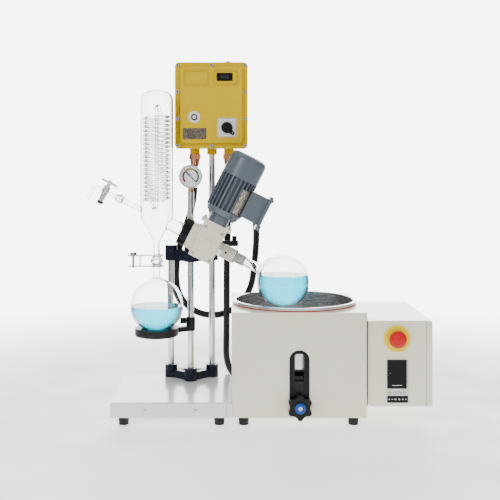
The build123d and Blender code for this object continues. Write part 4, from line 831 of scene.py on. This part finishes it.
def coil_route(radius, pitch):
    """The glass coil's points: up in turns, over its crown, down the middle and out."""
    bottom, top, steps = 510, 730, 28
    start = atan2(25, 14)
    points = [CONDENSER + Vector((14, 36, 516)), CONDENSER + Vector((14, 31, 515))]
    for k in range(2, int((top - bottom) / pitch) * steps + 1):
        angle = start + 2 * pi * k / steps
        points.append(CONDENSER + Vector((radius * cos(angle), radius * sin(angle),
                                          bottom + 4 + pitch * k / steps)))
    last = points[-1]
    crown = last - CONDENSER
    for reach, rise in ((0.86, 3), (0.66, 7), (0.5, 13), (0.42, 19), (0.3, 24), (0.15, 26),
                        (0.02, 24), (-0.06, 18), (-0.03, 11), (0, 4), (0, -8)):
        points.append(CONDENSER + Vector((crown.x * reach, crown.y * reach, last.z + rise)))
    points += [CONDENSER + UP * z for z in range(int(last.z) - 22, 500, -14)]
    points += [CONDENSER + Vector(place) for place in (
        (-3, 1, 497), (-9, 7, 496), (-13, 16, 503), (-14, 25, 513), (-14, 36, 516))]
    return points


class EVAP_OT_glass_trim(bpy.types.Operator):
    """Winds the condenser's glass coil and adds ground joints and seals"""

    bl_idname = "evaporator.glass_trim"
    bl_label = "Glass coil and joints"
    bl_options = {"REGISTER", "UNDO"}

    def execute(self, context):
        sizes = context.scene.evaporator_sizes
        shape = bmesh.new()
        tube(shape, coil_route(sizes.coil_radius * 1000, sizes.coil_pitch * 1000),
             sizes.coil_tube * 1000)
        piece("glass_coil", shape, "coil glass", "stand", "glass", True, ["condenser_coil"])
        turned("ball_joint_lip", ("clear glass", "stand", "glass"),
               [(15.6, 0), (16.2, 1), (16.2, 3), (15.6, 4)], CONDENSER + UP * 363, UP, 40)
        shape = bmesh.new()
        for v in (-27.5, -30.0):
            tube(shape, circle(at_head(STOPCOCK_U, v), ACROSS, BACK, 7.6, 24), 1.2, 8, True)
        piece("stopcock_rings", shape, "black rubber", "feed_cock", "black_plastic")
        shape = bmesh.new()
        tube(shape, circle(at_head(FLANGE_U), UP_MOTOR, BACK, 10.6, 32), 1.5, 8, True)
        piece("feed_flange_ring", shape, "ground glass", "stand", "glass")
        return {"FINISHED"}


class EVAP_OT_bath_trim(bpy.types.Operator):
    """Adds the slot's trim and the knob's cap"""

    bl_idname = "evaporator.bath_trim"
    bl_label = "Bath trim"
    bl_options = {"REGISTER", "UNDO"}

    def execute(self, context):
        width = context.scene.evaporator_sizes.trim_width * 1000
        rim("slot_trim", ("black moulding", "stand", "black_plastic"),
            outline(width, 150, width / 2 - 0.5, 12), outline(21, 134, 6, 12),
            Vector((BATH_X, FRONT_Y, SLOT_Z)), 1.0)
        turned("knob_cap", ("cap blue", "lift_lock", "black_plastic"),
               [(12.4, -0.2), (12.4, 0.4), (11.5, 0.8), (0, 1.1)], KNOB, FRONT, 48)
        turned("knob_cap_disc", ("pale disc", "lift_lock", "black_plastic"),
               [(4.6, 0.9), (4.6, 1.35), (0, 1.5)], KNOB, FRONT, 48)
        return {"FINISHED"}


class EVAP_OT_rear_trim(bpy.types.Operator):
    """Adds the screws, louvres and blank plate of the far sides, which are a guess"""

    bl_idname = "evaporator.rear_trim"
    bl_label = "Rear trim"
    bl_options = {"REGISTER", "UNDO"}

    def execute(self, context):
        shape = bmesh.new()
        for x in (-43, 252):
            for z in (36, 250):
                lathe(shape, [(3.6, 0), (3.3, 1.2), (1.8, 1.8), (0, 1.9)],
                      Vector((x, BATH_BACK_Y, z)), BACK, 20)
        for x in (-70, 70):
            for z in (-88, 88):
                lathe(shape, [(4.6, 0), (4.6, 2.6), (4, 3.2), (0, 3.2)],
                      Vector((RIGHT_ROD_X + x, BOX_BACK_Y, BOX_Z + z)), BACK, 6)
        piece("bath_back_screws", shape, "turned steel", "stand", "steel", False)
        hoods, gaps = bmesh.new(), bmesh.new()
        for row in range(7):
            z = 196 - 9 * row
            for place, side in ((Vector((BATH_X, BATH_BACK_Y, z)), -RIGHT),
                                (Vector((CONTROLLER_END_X, 12.5, z)), BACK)):
                slab(hoods, outline(92, 5, 2.4), place, side, UP, 1.7, 0.9)
                slab(gaps, outline(88, 1.5, 0.7), place - UP * 3.4, side, UP, 0.12)
        piece("louvre_hoods", hoods, "cream enamel", "stand", "cream_paint")
        piece("louvre_gaps", gaps, "dark joint and painted shade", "stand", "black_plastic", False)
        plate("rear_plate", ("pressed plate", "stand", "steel"), outline(58, 34, 2),
              Vector((200, BATH_BACK_Y, 80)), 0.5, 0.1, side=-RIGHT)
        return {"FINISHED"}


class EVAP_OT_controller_face(bpy.types.Operator):
    """Adds the temperature module, the stop button's collar and the controller's joints"""

    bl_idname = "evaporator.controller_face"
    bl_label = "Controller face"
    bl_options = {"REGISTER", "UNDO"}

    def execute(self, context):
        black = ("black moulding", "stand", "black_plastic")
        window = MODULE + Vector((-1.5, 0, 17))
        in_window = window + FRONT * 0.2
        rim("module_edge", ("grey moulding", "stand", "cream_paint"), outline(49, 98, 1.5),
            outline(47.8, 96.8, 1), MODULE, 0.35)
        plate("module_face", ("cream moulding", "stand", "cream_plastic"),
              outline(47.8, 96.8, 1), MODULE, 0.25)
        rim("module_frame", black, outline(44.6, 66, 1), outline(36, 58, 1), in_window, 2.2)
        plate("module_window", ("dark window", "stand", "black_plastic"),
              outline(36.4, 58.4, 1), in_window, 0.7)
        plate("module_strip", black, outline(47.6, 16, 1), MODULE + Vector((0, -0.2, -41)),
              0.5, 0.2)
        shape = bmesh.new()
        for x in (-17.5, -6.5, 4.5, 15.5):
            lathe(shape, [(2.2, 0), (3.6, 0), (3.6, 0.9), (3.2, 1.2), (2.2, 0.9), (2.2, 0)],
                  MODULE + Vector((x, -0.25, -26.5)), FRONT, 24)
        piece("module_keys", shape, "grey moulding", "stand", "black_plastic")
        shape = bmesh.new()
        for x, wide, tall in ((-19, 2.4, 2.4), (-12, 4, 1), (-5, 4, 2.6), (4, 3, 3),
                              (12, 3, 2.4), (19, 2.4, 2.4)):
            slab(shape, outline(wide, tall, 0.4, 2), MODULE + Vector((x, -0.7, -41)), RIGHT, UP,
                 0.06)
        slab(shape, outline(1.2, 1.2, 0.5, 3), window + Vector((-15, -0.9, 2)), RIGHT, UP, 0.06)
        slab(shape, outline(24, 1.2, 0.4, 2), window + Vector((0, -0.9, -26)), RIGHT, UP, 0.06)
        piece("module_marks", shape, "white moulding", "stand", "white_plastic", False)

        # A black strip fills the gap between the bath and the controller
        plate("gap_strip", ("black rubber", "stand", "rubber"), outline(3.2, 196, 1.5),
              Vector((261.8, FRONT_Y + 15.2, CONTROLLER_Z)), 1.2, 0.3)
        plate("end_cover_seam", ("dark joint and painted shade", "stand", "cream_paint"), outline(0.7, 196, 0.3),
              Vector((398.9, FRONT_Y + 14, CONTROLLER_Z)), 0.1, smooth=False)
        turned("stop_collar", black,
               [(8.2, 3), (14, 3), (14, 4.2), (12.6, 5.2), (8.2, 5.2), (8.2, 3)],
               STOP, FRONT, 48)
        shape = bmesh.new()
        for z in (56, 230):
            lathe(shape, [(2.6, 0), (2.4, 0.9), (1.2, 1.4), (0, 1.5)],
                  Vector((405.8, FRONT_Y + 14, z)), FRONT, 20)
        piece("controller_screws", shape, "turned steel", "stand", "steel")
        return {"FINISHED"}


def fade_out(material):
    """Makes a finish clear far from its object's middle."""
    tree = material.node_tree
    place = tree.nodes.new("ShaderNodeTexCoord")
    away = tree.nodes.new("ShaderNodeVectorMath")
    away.operation = "LENGTH"
    fade = tree.nodes.new("ShaderNodeMapRange")
    fade.interpolation_type = "SMOOTHSTEP"
    fade.inputs["From Min"].default_value = FADE_FROM
    fade.inputs["From Max"].default_value = FADE_TO
    clear = tree.nodes.new("ShaderNodeBsdfTransparent")
    mix = tree.nodes.new("ShaderNodeMixShader")
    join(tree, place, "Object", away, 0)
    join(tree, away, "Value", fade, "Value")
    join(tree, fade, "Result", mix, "Fac")
    join(tree, tree.nodes["Principled BSDF"], "BSDF", mix, 1)
    join(tree, clear, "BSDF", mix, 2)
    join(tree, mix, "Shader", tree.nodes["Material Output"], "Surface")


class EVAP_OT_stage(bpy.types.Operator):
    """Sets the pale floor, the backdrop and the soft studio lights"""

    bl_idname = "evaporator.stage"
    bl_label = "Stage"
    bl_options = {"REGISTER", "UNDO"}

    def lay_floor(self, context):
        shape = bmesh.new()
        far = FLOOR_REACH
        shape.faces.new(corners(shape, (
            (-far, -far, 0), (far, -far, 0), (far, far, 0), (-far, far, 0))))
        mesh = bpy.data.meshes.new("floor")
        shape.to_mesh(mesh)
        shape.free()
        floor = bpy.data.objects.new("floor", mesh)
        context.collection.objects.link(floor)
        fade_out(FINISHES["floor paper"])
        floor.data.materials.append(FINISHES["floor paper"])

    def hang_backdrop(self, context):
        world = bpy.data.worlds.new("studio")
        context.scene.world = world
        world.use_nodes = True
        tree = world.node_tree
        sky = tree.nodes["Background"]
        place = tree.nodes.new("ShaderNodeTexCoord")
        parts = tree.nodes.new("ShaderNodeSeparateXYZ")
        depth = tree.nodes.new("ShaderNodeMapRange")
        depth.inputs["From Min"].default_value = -1
        ramp = tree.nodes.new("ShaderNodeValToRGB")
        while len(ramp.color_ramp.elements) < len(BACKDROP):
            ramp.color_ramp.elements.new(1.0)
        for element, (position, shade) in zip(ramp.color_ramp.elements, BACKDROP):
            element.position = position
            element.color = (shade, shade, shade, 1)
        join(tree, place, "Generated", parts, "Vector")
        join(tree, parts, "Y", depth, "Value")
        join(tree, depth, "Result", ramp, "Fac")
        join(tree, ramp, "Color", sky, "Color")
        sky.inputs["Strength"].default_value = BACKDROP_STRENGTH

    def execute(self, context):
        self.lay_floor(context)
        self.hang_backdrop(context)
        for name, spot, size, power in LIGHTS:
            light = bpy.data.lights.new(name, "AREA")
            light.size = size
            light.energy = power
            lamp = bpy.data.objects.new(name, light)
            lamp.location = spot
            aim = Vector((0, 0, 0.4)) - Vector(spot)
            lamp.rotation_euler = aim.to_track_quat("-Z", "Y").to_euler()
            context.collection.objects.link(lamp)
        return {"FINISHED"}


# Panel and registration

STEPS = (
    EVAP_OT_camera, EVAP_OT_leads, EVAP_OT_finishes, EVAP_OT_stand_trim, EVAP_OT_box_face,
    EVAP_OT_gauge, EVAP_OT_head_trim, EVAP_OT_glass_trim, EVAP_OT_bath_trim,
    EVAP_OT_rear_trim, EVAP_OT_controller_face, EVAP_OT_stage,
)


class EVAP_PT_panel(bpy.types.Panel):
    """Lists the steps that dress the apparatus"""

    bl_idname = "EVAP_PT_panel"
    bl_label = "Rotary evaporator"
    bl_space_type = "VIEW_3D"
    bl_region_type = "UI"
    bl_category = "Evaporator"

    def draw(self, context):
        for step in STEPS:
            self.layout.operator(step.bl_idname)
        for group in (context.scene.evaporator_colours, context.scene.evaporator_sizes):
            for name in group.__annotations__:
                self.layout.prop(group, name)


def register():
    for made in (EvaporatorColours, EvaporatorSizes, *STEPS, EVAP_PT_panel):
        bpy.utils.register_class(made)
    bpy.types.Scene.evaporator_colours = bpy.props.PointerProperty(type=EvaporatorColours)
    bpy.types.Scene.evaporator_sizes = bpy.props.PointerProperty(type=EvaporatorSizes)


def unregister():
    del bpy.types.Scene.evaporator_colours
    del bpy.types.Scene.evaporator_sizes
    for made in (EVAP_PT_panel, *reversed(STEPS), EvaporatorSizes, EvaporatorColours):
        bpy.utils.unregister_class(made)


def main():
    register()
    make_finishes(bpy.context.scene.evaporator_colours)
    for step in STEPS:
        group, name = step.bl_idname.split(".")
        getattr(getattr(bpy.ops, group), name)()


if __name__ == "__main__":
    main()
